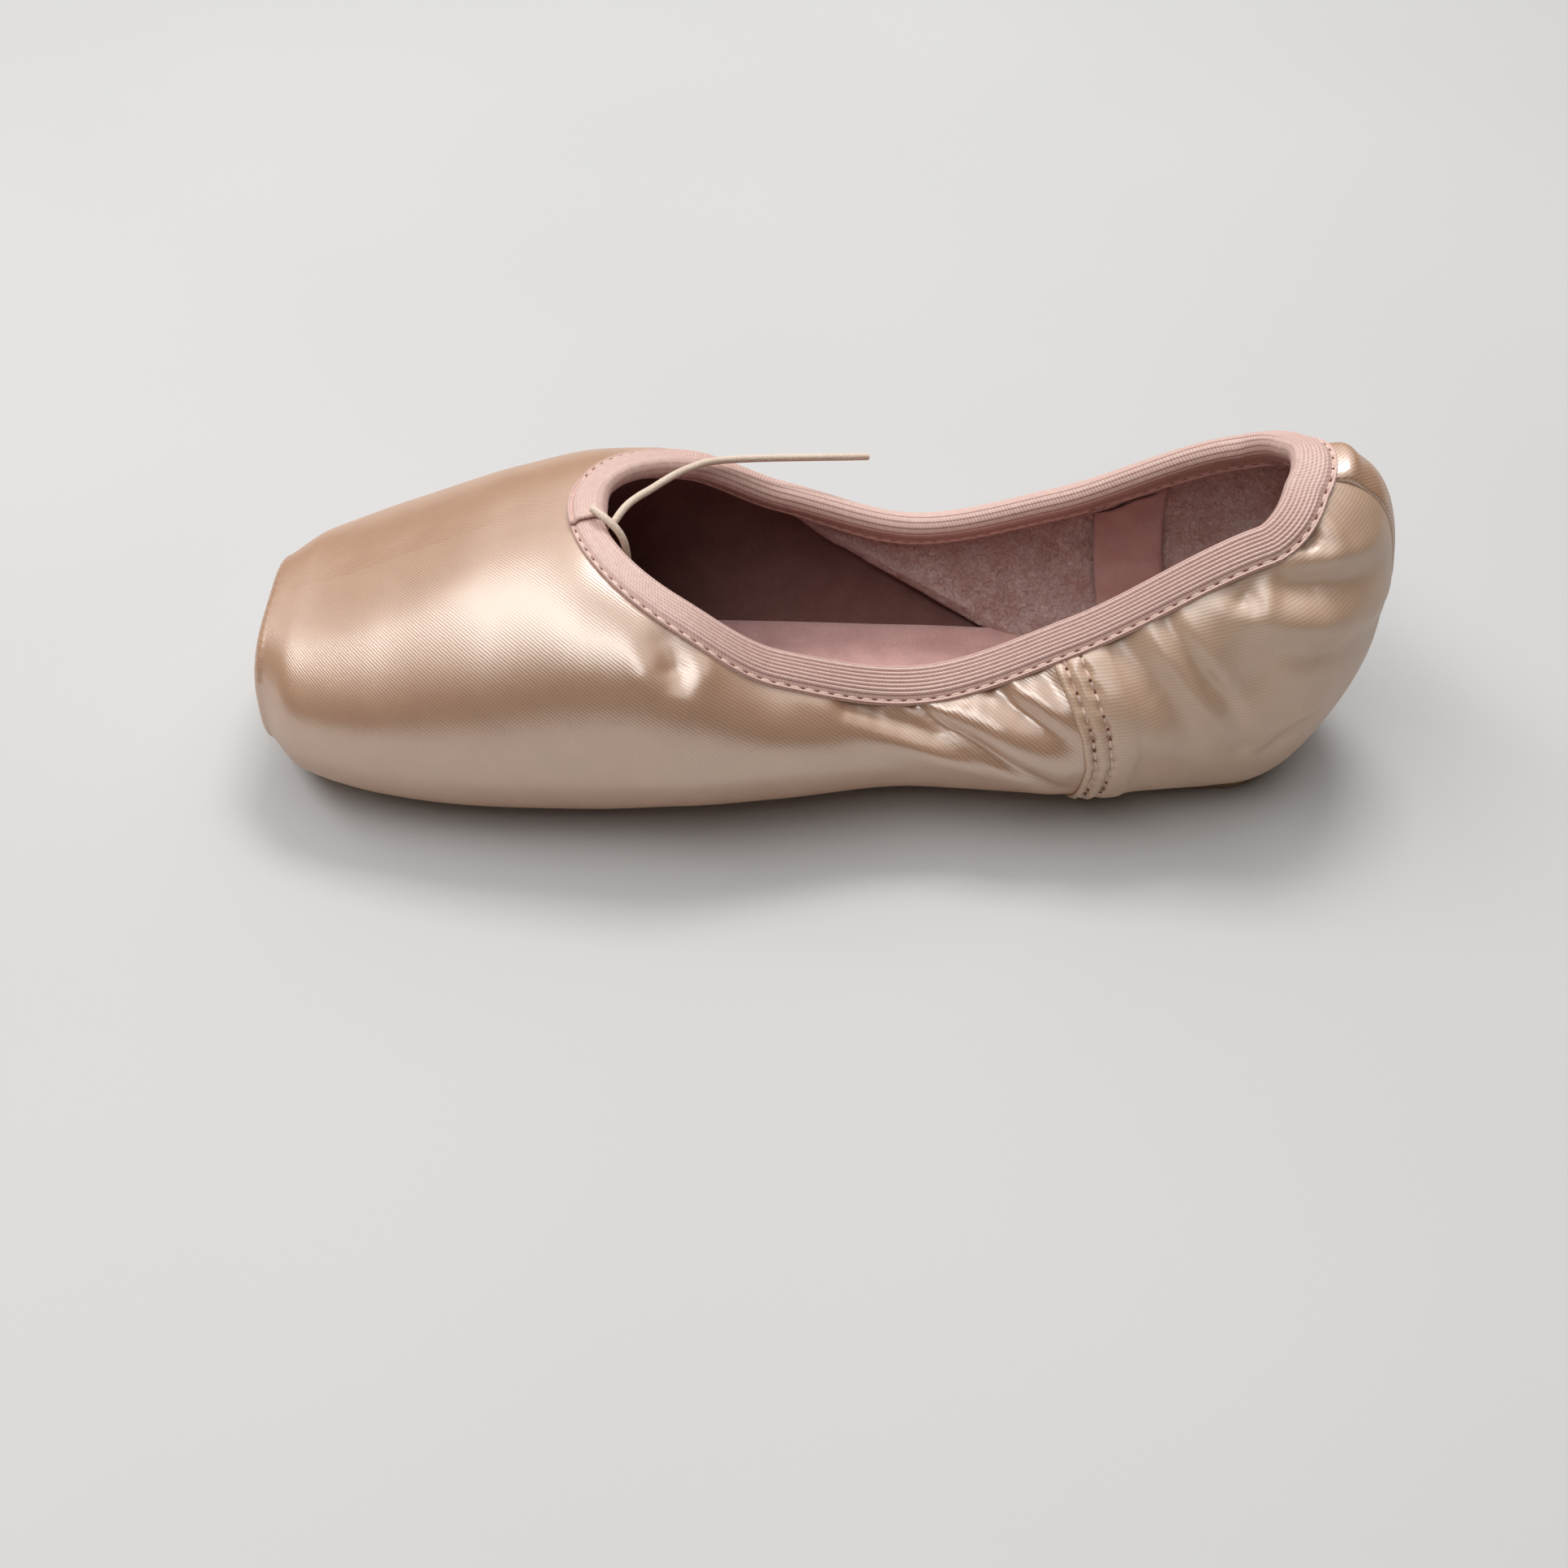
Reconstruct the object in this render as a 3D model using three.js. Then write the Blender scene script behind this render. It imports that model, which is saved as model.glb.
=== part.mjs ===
// A pointe shoe standing empty on its sole: a hollow satin upper, the elastic binding folded over its
// collar, a thin leather outsole, an insole and the two ends of the drawstring.
// Millimetres, +Z up, toe towards -X, floor at Z = 0, the shoe's middle plane at Y = 0.
import * as THREE from 'three';
import { mergeVertices } from 'three/addons/utils/BufferGeometryUtils.js';

// Driving dimensions of the last
const LENGTH = 233;
const BALL_HALF = 45;
const INSTEP_Z = 57.5;
const HEEL_Z = 71.5;
const HEEL_HALF = 30;
const PLATFORM_HALF = 22.5;
const PLATFORM_TOP_Z = 34;

// Thicknesses and clearances
const WALL = 2;
const TOE_WALL = 3;
const GAP = 0.3;
const SOLE_THICK = 2.2;
const INSOLE_THICK = 2;
const INSOLE_EDGE = 1.4;
const BINDING_THICK = 1.2;
const BINDING_GAP = 0.4;
const BINDING_OUTER_LEG = 7.5;
const BINDING_INNER_LEG = 7;
const CORD_DIAMETER = 1.6;

// Places along the shoe
const TOE_X = -LENGTH / 2;
const HEEL_CENTRE_X = LENGTH / 2 - HEEL_HALF;
const THROAT_X = -45.5;
const THROAT_LONG = 36;
const BOTTOM_OPEN_X = -98;
const BOTTOM_OPEN_LONG = 24;
const SOLE_TOE_X = -103;
const SOLE_TOE_LONG = 26;
const INSOLE_TOE_X = -106;
const INSOLE_TOE_LONG = 26;
const PLUG_X = -92;
const PLUG_LONG = 24;

// Side margins, outwards from the flat of the bottom
const TURN_UNDER = 4;
const SOLE_LAP = 4.5;
const INSOLE_LAP = 6;
// Part of the insole's half width that lies level
const INSOLE_LEVEL = 0.6;

// A station is X up to the heel's centre; from there FAN millimetres of station turn a quarter circle
// round it, to the middle of the back.
const FAN = 47;
const BACK = HEEL_CENTRE_X + FAN;

// Sections of the last. Widths are halves. Each section has a flat bottom, a widest side and a top, which is
// the crown before the throat (half width 0) and the collar behind it. The last two columns are the
// fullness of the curves below and above the side: 2 is an ellipse, and more is squarer.
const COLUMNS = [
  'station', 'bottomHalf', 'bottomZ', 'sideHalf', 'sideZ', 'topHalf', 'topZ', 'lowFull', 'topFull',
];
const ROWS = [
  [TOE_X, 10, 7, PLATFORM_HALF, 20, 0, PLATFORM_TOP_Z, 2.3, 2.8],
  [-106, 13, 4.5, 32.5, 20, 0, 36.5, 2.3, 2.7],
  [-88, 17, 2.8, 39, 20, 0, 43.5, 2.3, 2.5],
  [-65, 20, 2, 42.5, 20.5, 0, 53, 2.1, 2.4],
  [-46, 21, 2, 43.5, 21, 0, INSTEP_Z, 2, 2.5],
  [-28, 20.5, 2.5, BALL_HALF, 22.5, 0, 53.5, 1.8, 2.8],
  [-8, 19.5, 3, 43, 23.5, 27.5, 41.5, 1.8, 2.5],
  [20, 17, 4.5, 37.5, 21.5, 25, 35.8, 1.9, 2.1],
  [50, 17, 3.4, 39, 23, 21, 45.2, 2, 2],
  [HEEL_CENTRE_X, 16, 2.2, 33.5, 30, 15, 63.8, 2.1, 2.1],
  [HEEL_CENTRE_X + FAN / 2, 12, 2.4, HEEL_HALF, 36, 9, 69.5, 1.8, 2.6],
  [BACK, 9.5, 2.6, HEEL_HALF, 40, 8, HEEL_Z, 1.6, 3.4],
];

// Steps of the faceted solids
const TOE_STEPS = 4;
const VAMP_STEPS = 9;
const THROAT_STEPS = 8;
const QUARTER_STEPS = 12;
const FAN_STEPS = 9;
const LOW_STEPS = 7;
const TOP_STEPS = 9;
const SOLE_END_STEPS = 5;
const SOLE_STEPS = 18;
const CORD_SIDES = 8;
const WALK_STEP = 0.5;

// Small steps for measuring slopes, in millimetres or radians
const NUDGE = 0.2;
const TURN_NUDGE = 0.02;
const WELD = 1e-3;
const TINY = 1e-4;

// The drawstring's ends, by hand: out of the binding's mouth at the throat
const DRAWSTRING_END = [
  [-41.6, -6.2, 57.2], [-40.4, -4.4, 58.3], [-39.1, -2.3, 58.9], [-37.1, 1.2, 58.6], [-34.9, 5, 57.7],
  [-32.4, 9.8, 56.5], [-29.7, 14.8, 55.1], [-27, 18.9, 53.8], [-24, 22.6, 52.5], [-20.2, 25.6, 51.1],
  [-15.8, 28, 49.8], [-11, 29.8, 48.8], [-5.6, 31.5, 47.8], [0, 33.2, 46.8], [5.3, 35, 45.7],
  [10.5, 37, 44.5],
];
const DRAWSTRING_LOOP = [
  [-45.6, -5.6, 60.6], [-44.3, -7, 60.6], [-42.7, -8.3, 60.1], [-41.1, -9.2, 59], [-39.9, -9.8, 57.5],
  [-39.2, -10, 55.8], [-38.9, -9.9, 53.9], [-38.8, -9.6, 51.8], [-38.8, -9.4, 49.5], [-38.5, -9.5, 47],
  [-38, -9.9, 44.3], [-37.3, -10.4, 41.5], [-36.3, -10.9, 38.6], [-35, -11.4, 35.8], [-33.4, -11.8, 33.2],
];

// Section table: columns by name, with the virtual crown over each open row's collar
const stations = ROWS.map((row) => row[0]);
const columns = Object.fromEntries(COLUMNS.map((name, k) => [name, ROWS.map((row) => row[k])]));
columns.crownZ = ROWS.map((row, k) => {
  const opened = columns.topHalf[k] / columns.sideHalf[k];
  const height = (1 - opened ** columns.topFull[k]) ** (1 / columns.topFull[k]);
  return columns.sideZ[k] + (columns.topZ[k] - columns.sideZ[k]) / height;
});
const firstOpening = columns.topHalf.find((half) => half > 0);
columns.topHalf = columns.topHalf.map((half) => half || firstOpening);

// Slopes of a monotone cubic through the rows, so that no column swings past its own values. The last is
// level, so that the two halves meet smoothly at the back.
function slopesOf(values) {
  const steps = stations.slice(1).map((station, k) => station - stations[k]);
  const rises = steps.map((step, k) => (values[k + 1] - values[k]) / step);
  return values.map((_, k) => {
    if (k === 0) return rises[0];
    if (k === values.length - 1) return 0;
    if (rises[k - 1] * rises[k] <= 0) return 0;
    const before = 2 * steps[k] + steps[k - 1];
    const after = steps[k] + 2 * steps[k - 1];
    return (before + after) / (before / rises[k - 1] + after / rises[k]);
  });
}

const slopes = Object.fromEntries(Object.entries(columns).map(([name, values]) => [name, slopesOf(values)]));

function interpolate(name, station) {
  const last = stations.length - 2;
  const above = stations.findIndex((s) => s > station);
  const k = above < 0 ? last : Math.max(above - 1, 0);
  const step = stations[k + 1] - stations[k];
  const t = THREE.MathUtils.clamp((station - stations[k]) / step, 0, 1);
  const [y0, y1] = [columns[name][k], columns[name][k + 1]];
  const [m0, m1] = [slopes[name][k] * step, slopes[name][k + 1] * step];
  const rise = y1 - y0;
  return y0 + t * (m0 + t * (3 * rise - 2 * m0 - m1 + t * (m0 + m1 - 2 * rise)));
}

// A round end in plan: 0 at its start, 1 once it has run its length
function roundEnd(station, start, long) {
  const g = THREE.MathUtils.clamp((station - start) / long, 0, 1);
  return Math.sqrt(1 - (1 - g) ** 2);
}

function sectionAt(station) {
  const section = { station };
  for (const name of Object.keys(columns)) {
    if (name !== 'station') section[name] = interpolate(name, station);
  }
  section.topHalf *= roundEnd(station, THROAT_X, THROAT_LONG);
  return section;
}

// Half profile below the side: height at a distance out from the middle plane
function lowZ(section, out) {
  const span = section.sideHalf - section.bottomHalf;
  const part = THREE.MathUtils.clamp((out - section.bottomHalf) / span, 0, 1);
  const drop = (1 - part ** section.lowFull) ** (1 / section.lowFull);
  return section.sideZ - (section.sideZ - section.bottomZ) * drop;
}

// Half profile above the side
function topZ(section, out) {
  const part = THREE.MathUtils.clamp(out / section.sideHalf, 0, 1);
  const height = (1 - part ** section.topFull) ** (1 / section.topFull);
  return section.sideZ + (section.crownZ - section.sideZ) * height;
}

// A place in space from a station, a distance out and a height, on the +Y side
function place(station, out, z) {
  const turn = THREE.MathUtils.clamp((station - HEEL_CENTRE_X) / FAN, 0, 1) * Math.PI / 2;
  const onMiddle = station >= BACK - TINY || out < TINY;
  const x = Math.min(station, HEEL_CENTRE_X) + out * Math.sin(turn);
  return new THREE.Vector3(x, onMiddle ? 0 : out * Math.cos(turn), z);
}

// Point of the whole last's skin; the turn runs from -90 degrees at the bottom's edge through 0 at the side
// to 90 degrees at the crown.
function skinPoint(station, turn) {
  const s = sectionAt(station);
  if (turn < 0) {
    const power = 2 / s.lowFull;
    const out = s.bottomHalf + (s.sideHalf - s.bottomHalf) * Math.cos(turn) ** power;
    return place(station, out, s.sideZ - (s.sideZ - s.bottomZ) * (-Math.sin(turn)) ** power);
  }
  const power = 2 / s.topFull;
  const out = s.sideHalf * Math.max(Math.cos(turn), 0) ** power;
  return place(station, out, s.sideZ + (s.crownZ - s.sideZ) * Math.sin(turn) ** power);
}

// Outward normal of the skin, flat against the middle plane where a point lies on it
function skinNormal(station, turn, onMiddle) {
  const low = Math.max(turn - TURN_NUDGE, -Math.PI / 2);
  const high = Math.min(turn + TURN_NUDGE, Math.PI / 2);
  const along = skinPoint(station + NUDGE, turn).sub(skinPoint(Math.max(station - NUDGE, TOE_X), turn));
  const up = skinPoint(station, high).sub(skinPoint(station, low));
  const normal = up.cross(along);
  if (onMiddle) normal.y = 0;
  return normal.normalize();
}

// Solid from rows of points on the +Y side, each row a closed profile, mirrored in the middle plane.
// Faces that lie in that plane are inside the solid, so they are left out.
function mirroredSolid(rows) {
  const positions = [];
  const flip = (p) => new THREE.Vector3(p.x, -p.y, p.z);
  const inPlane = (triangle) => triangle.every((p) => Math.abs(p.y) < TINY);
  const area = ([a, b, c]) => b.clone().sub(a).cross(c.clone().sub(a)).length();
  const push = (triangle) => {
    if (inPlane(triangle) || area(triangle) < TINY) return;
    for (const p of triangle) positions.push(p.x, p.y, p.z);
    for (const p of [triangle[0], triangle[2], triangle[1]].map(flip)) positions.push(p.x, p.y, p.z);
  };
  for (let i = 0; i + 1 < rows.length; i += 1) {
    for (let j = 0; j < rows[i].length; j += 1) {
      const k = (j + 1) % rows[i].length;
      push([rows[i][j], rows[i + 1][j], rows[i + 1][k]]);
      push([rows[i][j], rows[i + 1][k], rows[i][k]]);
    }
  }
  const raw = new THREE.BufferGeometry();
  raw.setAttribute('position', new THREE.Float32BufferAttribute(positions, 3));
  return facingOut(mergeVertices(raw, WELD));
}

// Turns a closed mesh's faces outwards, judged by its volume.
function facingOut(geometry) {
  const { array } = geometry.index;
  const corner = (k) => new THREE.Vector3().fromBufferAttribute(geometry.attributes.position, array[k]);
  let volume = 0;
  for (let k = 0; k < array.length; k += 3) volume += corner(k).dot(corner(k + 1).cross(corner(k + 2)));
  if (volume < 0) {
    for (let k = 0; k < array.length; k += 3) [array[k], array[k + 1]] = [array[k + 1], array[k]];
  }
  geometry.computeVertexNormals();
  return geometry;
}

function evenly(from, to, steps) {
  return Array.from({ length: steps + 1 }, (_, k) => from + (to - from) * k / steps);
}

// Stations of the collar, from the throat's point round to the middle of the back
function collarStations() {
  const quarter = evenly(0, Math.PI / 2, THROAT_STEPS);
  const throat = quarter.map((turn) => THROAT_X + THROAT_LONG * (1 - Math.cos(turn)));
  const side = evenly(THROAT_X + THROAT_LONG, HEEL_CENTRE_X, QUARTER_STEPS).slice(1);
  const heel = evenly(HEEL_CENTRE_X, BACK, FAN_STEPS).slice(1);
  return [...throat, ...side, ...heel];
}

function upperStations() {
  const toe = evenly(TOE_X, BOTTOM_OPEN_X, TOE_STEPS);
  const vamp = evenly(BOTTOM_OPEN_X, THROAT_X, VAMP_STEPS).slice(1, -1);
  return [...toe, ...vamp, ...collarStations()];
}

// One section of the upper's wall: the outer skin from the bottom's edge up, then the inner skin back down.
function upperRow(station) {
  const s = sectionAt(station);
  const openHalf = (s.bottomHalf - TURN_UNDER) * roundEnd(station, BOTTOM_OPEN_X, BOTTOM_OPEN_LONG);
  const last = Math.acos(Math.min((s.topHalf / s.sideHalf) ** (s.topFull / 2), 1));
  const turns = [...evenly(-Math.PI / 2, 0, LOW_STEPS), ...evenly(0, last, TOP_STEPS).slice(1)];
  const outer = [place(station, openHalf, s.bottomZ), ...turns.map((turn) => skinPoint(station, turn))];
  const inner = outer.map((p, k) => {
    const turn = k === 0 ? turns[0] : turns[k - 1];
    return p.clone().addScaledVector(skinNormal(station, turn, Math.abs(p.y) < TINY), -WALL);
  });
  if (station === TOE_X) {
    for (const p of inner) p.x = TOE_X + TOE_WALL;
  }
  return [...outer, ...inner.reverse()];
}

function upper() {
  const rows = upperStations().map(upperRow);
  const half = rows[0].length / 2;
  const middleZ = (PLATFORM_TOP_Z + rows[0][0].z) / 2;
  const platform = rows[0].map((_, k) => new THREE.Vector3(k < half ? TOE_X : TOE_X + TOE_WALL, 0, middleZ));
  return mirroredSolid([platform, ...rows]);
}

// Height of the skin above the side, over a place in plan
function coverZ(x, y) {
  const aft = Math.max(x - HEEL_CENTRE_X, 0);
  const out = Math.hypot(aft, y);
  const station = aft > 0 ? HEEL_CENTRE_X + FAN * Math.atan2(aft, Math.abs(y)) / (Math.PI / 2) : x;
  return topZ(sectionAt(station), out);
}

function coverNormal(x, y) {
  const dx = (coverZ(x + NUDGE, y) - coverZ(x - NUDGE, y)) / (2 * NUDGE);
  const dy = y < NUDGE ? 0 : (coverZ(x, y + NUDGE) - coverZ(x, y - NUDGE)) / (2 * NUDGE);
  return new THREE.Vector3(-dx, -dy, 1).normalize();
}

function collarPoint(station) {
  const s = sectionAt(station);
  return place(station, s.topHalf, topZ(s, s.topHalf));
}

// Walks down the skin from the collar, square to it, and gives the point and normal at each distance.
function walkFrom(station, distances) {
  const start = collarPoint(station);
  const ahead = collarPoint(Math.min(station + NUDGE, BACK));
  const tangent = ahead.sub(collarPoint(Math.max(station - NUDGE, THROAT_X)));
  const heading = coverNormal(start.x, start.y).cross(tangent).setZ(0);
  if (start.y < TINY) heading.set(station > 0 ? 1 : -1, 0, 0);
  heading.normalize();
  const here = start.clone();
  let walked = 0;
  return distances.map((distance) => {
    while (walked < distance - TINY) {
      const next = here.clone().addScaledVector(heading, NUDGE);
      const slope = (coverZ(next.x, next.y) - here.z) / NUDGE;
      here.addScaledVector(heading, WALK_STEP / Math.hypot(1, slope));
      here.z = coverZ(here.x, here.y);
      walked += WALK_STEP;
    }
    return { point: here.clone(), normal: coverNormal(here.x, here.y), heading };
  });
}

function lifted({ point, normal }, height) {
  return point.clone().addScaledVector(normal, height);
}

// The binding's closed profile: outer leg, fold over the collar's edge, inner leg and back along the wall
function bindingRow(station) {
  const outerLeg = walkFrom(station, [0, BINDING_OUTER_LEG / 3, BINDING_OUTER_LEG * 2 / 3, BINDING_OUTER_LEG]);
  const innerLeg = walkFrom(station, [0, BINDING_INNER_LEG / 2, BINDING_INNER_LEG]);
  const outside = BINDING_GAP + BINDING_THICK;
  const edge = outerLeg[0];
  const over = (height, reach) => lifted(edge, height).addScaledVector(edge.heading, -reach);
  return [
    ...outerLeg.slice(1).reverse().map((leg) => lifted(leg, outside)),
    over(outside, BINDING_GAP),
    over(0, outside),
    over(-WALL, outside),
    over(-WALL - outside, BINDING_GAP),
    ...innerLeg.slice(1).map((leg) => lifted(leg, -WALL - outside)),
    ...innerLeg.slice(1).reverse().map((leg) => lifted(leg, -WALL - BINDING_GAP)),
    over(-WALL - BINDING_GAP, BINDING_GAP),
    over(BINDING_GAP, BINDING_GAP),
    ...outerLeg.slice(1).map((leg) => lifted(leg, BINDING_GAP)),
  ];
}

function collarBinding() {
  return mirroredSolid(collarStations().map(bindingRow));
}

// The bottom pieces share these stations, from their own toe end to the middle of the back.
function soleStations(toeX, long) {
  const toe = evenly(0, Math.PI / 2, SOLE_END_STEPS).map((turn) => toeX + long * (1 - Math.cos(turn)));
  const waist = evenly(toeX + long, HEEL_CENTRE_X, SOLE_STEPS).slice(1);
  return [...toe, ...waist, ...evenly(HEEL_CENTRE_X, BACK, FAN_STEPS).slice(1)];
}

// The outsole lies flat on the floor under the ball and the heel, and lifts at the toe and the waist.
function outsole() {
  const rows = soleStations(SOLE_TOE_X, SOLE_TOE_LONG).map((station) => {
    const s = sectionAt(station);
    const half = (s.bottomHalf + SOLE_LAP) * roundEnd(station, SOLE_TOE_X, SOLE_TOE_LONG);
    const flat = Math.min(half, s.bottomHalf);
    const underZ = Math.max(s.bottomZ - GAP - SOLE_THICK, 0);
    const at = (out, z) => place(station, out, z);
    return [at(0, underZ), at(half, underZ), at(half, lowZ(s, half) - GAP), at(flat, s.bottomZ - GAP),
      at(0, s.bottomZ - GAP)];
  });
  return mirroredSolid(rows);
}

// The insole lies on the wall inside, and its middle reaches down through the upper's open bottom.
function insole() {
  const rows = soleStations(INSOLE_TOE_X, INSOLE_TOE_LONG).map((station) => {
    const s = sectionAt(station);
    const half = (s.bottomHalf + INSOLE_LAP) * roundEnd(station, INSOLE_TOE_X, INSOLE_TOE_LONG);
    const plug = (s.bottomHalf - TURN_UNDER - 2 * GAP) * roundEnd(station, PLUG_X, PLUG_LONG);
    const floorZ = s.bottomZ + WALL + GAP;
    const slope = (lowZ(s, half + NUDGE) - lowZ(s, half - NUDGE)) / (2 * NUDGE);
    const rimZ = lowZ(s, half) + (WALL + GAP) * Math.hypot(1, slope);
    const plugZ = plug > 0 ? s.bottomZ : floorZ;
    const at = (out, z) => place(station, out, z);
    return [at(0, plugZ), at(plug, plugZ), at(plug, floorZ), at(half, rimZ), at(half, rimZ + INSOLE_EDGE),
      at(half * INSOLE_LEVEL, floorZ + INSOLE_THICK), at(0, floorZ + INSOLE_THICK)];
  });
  return mirroredSolid(rows);
}

// A round cord along a route of points
function cord(route) {
  const path = new THREE.CatmullRomCurve3(route.map((p) => new THREE.Vector3(...p)), false, 'centripetal');
  const outline = new THREE.Shape(evenly(0, 2 * Math.PI, CORD_SIDES).slice(0, -1).map((turn) => (
    new THREE.Vector2(Math.cos(turn), Math.sin(turn)).multiplyScalar(CORD_DIAMETER / 2))));
  const steps = Math.round(path.getLength() / (2 * CORD_DIAMETER));
  return new THREE.ExtrudeGeometry(outline, { steps, extrudePath: path, bevelEnabled: false });
}

function piece(name, geometry, color, roughness) {
  const material = new THREE.MeshStandardMaterial({ color, roughness, metalness: 0 });
  const mesh = new THREE.Mesh(geometry, material);
  mesh.name = name;
  return mesh;
}

const shoe = new THREE.Group();
shoe.add(
  piece('upper', upper(), '#d2b195', 0.4),
  piece('collar_binding', collarBinding(), '#c9a29a', 0.8),
  piece('outsole', outsole(), '#b08a66', 0.7),
  piece('insole', insole(), '#a37f7d', 0.95),
  piece('drawstring_end', cord(DRAWSTRING_END), '#d8c6ae', 0.7),
  piece('drawstring_loop', cord(DRAWSTRING_LOOP), '#d8c6ae', 0.7),
);

export default shoe;
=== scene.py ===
"""A satin pointe shoe, standing empty on its sole.

The form follows the sections of the last that the CAD model has. Lengths are in millimetres until a piece
becomes a mesh, which is in metres. The toe points to -X, and the near side is -Y.
"""
import math

import bmesh
import bpy
import numpy as np
from mathutils import Matrix, Vector, noise


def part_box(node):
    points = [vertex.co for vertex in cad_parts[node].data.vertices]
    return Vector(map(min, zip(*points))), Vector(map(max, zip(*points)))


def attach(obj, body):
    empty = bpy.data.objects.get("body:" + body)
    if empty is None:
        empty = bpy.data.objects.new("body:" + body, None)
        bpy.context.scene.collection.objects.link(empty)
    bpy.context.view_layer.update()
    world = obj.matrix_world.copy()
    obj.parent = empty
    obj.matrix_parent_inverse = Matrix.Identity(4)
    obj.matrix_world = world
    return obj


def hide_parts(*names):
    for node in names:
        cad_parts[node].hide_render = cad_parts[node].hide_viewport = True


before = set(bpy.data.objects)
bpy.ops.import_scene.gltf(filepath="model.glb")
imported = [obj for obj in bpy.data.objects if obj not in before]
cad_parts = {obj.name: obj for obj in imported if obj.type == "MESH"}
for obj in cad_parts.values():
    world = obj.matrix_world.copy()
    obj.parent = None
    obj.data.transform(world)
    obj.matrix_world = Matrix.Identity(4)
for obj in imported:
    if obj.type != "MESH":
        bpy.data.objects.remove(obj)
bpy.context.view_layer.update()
MM = 0.001
NEAR, FAR = -1, 1

# Sizes of the last, as in the CAD model
UPPER_LOW, UPPER_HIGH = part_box("upper")
LENGTH = round((UPPER_HIGH.x - UPPER_LOW.x) / MM, 2)
HEEL_HALF = 30
TOE_X = -LENGTH / 2
HEEL_CENTRE_X = LENGTH / 2 - HEEL_HALF
FAN = 47
BACK = HEEL_CENTRE_X + FAN
THROAT_X = -45.5
THROAT_LONG = 36
BOTTOM_OPEN_X = -98
BOTTOM_OPEN_LONG = 24
TURN_UNDER = 4
WALL = 2
TOE_WALL = 3
GAP = 0.3
SOLE_THICK = 2.2
SOLE_LAP = 4.5
SOLE_ROUND = 0.5
SOLE_TOE_X = -103
SOLE_TOE_LONG = 26
INSOLE_THICK = 2
INSOLE_EDGE = 1.4
INSOLE_LAP = 6
INSOLE_LEVEL = 0.6
INSOLE_TOE_X = -106
INSOLE_TOE_LONG = 26
CORD_DIAMETER = 1.6

# Sections of the last: widths are halves, and fullness 2 is an ellipse. Behind the throat the crown's column
# holds the collar's height.
COLUMNS = (
    "station", "bottom_half", "bottom_z", "side_half", "side_z",
    "top_half", "crown_z", "low_full", "top_full",
)
SECTIONS = np.array([
    [TOE_X, 10, 7, 22.5, 20, 0, 34, 2.3, 2.8],
    [-106, 13, 4.5, 32.5, 20, 0, 36.5, 2.3, 2.7],
    [-88, 17, 2.8, 39, 20, 0, 43.5, 2.3, 2.5],
    [-65, 20, 2, 42.5, 20.5, 0, 53, 2.1, 2.4],
    [-46, 21, 2, 43.5, 21, 0, 57.5, 2, 2.5],
    [-28, 20.5, 2.5, 45, 22.5, 0, 53.5, 1.8, 2.8],
    [-8, 19.5, 3, 43, 23.5, 27.5, 41.5, 1.8, 2.5],
    [20, 17, 4.5, 37.5, 21.5, 25, 35.8, 1.9, 2.1],
    [50, 17, 3.4, 39, 23, 21, 45.2, 2, 2],
    [HEEL_CENTRE_X, 16, 2.2, 33.5, 30, 15, 63.8, 2.1, 2.1],
    [HEEL_CENTRE_X + FAN / 2, 12, 2.4, HEEL_HALF, 36, 9, 69.5, 1.8, 2.6],
    [BACK, 9.5, 2.6, HEEL_HALF, 40, 8, 71.5, 1.6, 3.4],
])

# Cloth thicknesses, tucks under the binding, pleats under the toe and the platform
SATIN_THICK = 0.9
LINING_THICK = 0.7
SATIN_TUCK = 3
LINING_TUCK = 2.5
PLEAT_CENTRE_X = SOLE_TOE_X + 18
PLEAT_DEPTH = 0.55
PLEAT_COUNT = 9
RIPPLE_HEIGHT = 0.07
RIPPLE_PITCH = 2.3
PLATFORM_ROUND = 4
PLATFORM_EASE = 8
# Rings of the platform's flat face, as parts of the way out from its middle
PLATFORM_RINGS = (0, 0.15, 0.3, 0.45, 0.6, 0.72, 0.84, 0.94)

# The side seam between the woven front and the stretch heel panel: part of the way up, station
SEAM = np.array([
    (0, 50), (0.2, 51.2), (0.42, 52.8), (0.54, 53.6), (0.65, 52.4), (0.77, 49.8), (0.87, 47.4), (1, 45),
])
SEAM_UNDERLAP = 5
# Height of the heel panel's doubled edge over the front: distance behind the seam, height
SEAM_BAND = np.array([
    (0, 0.5), (0.5, 1.0), (1.0, 1.15), (1.5, 0.95), (2.0, 0.45), (2.6, 0.95), (3.6, 1.25), (4.6, 1.0),
    (5.2, 0.5), (5.8, 0.85), (7.0, 0.95), (9.0, 0.9), (10.0, 0.75), (11.0, 0.3), (12.5, 0.05), (14, 0),
])
SEAM_ROWS = (2.0, 5.2)
SEAM_PITCH = 2.7
SEAM_DIMPLE = 0.65
SEAM_STEP = 0.35

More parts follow.
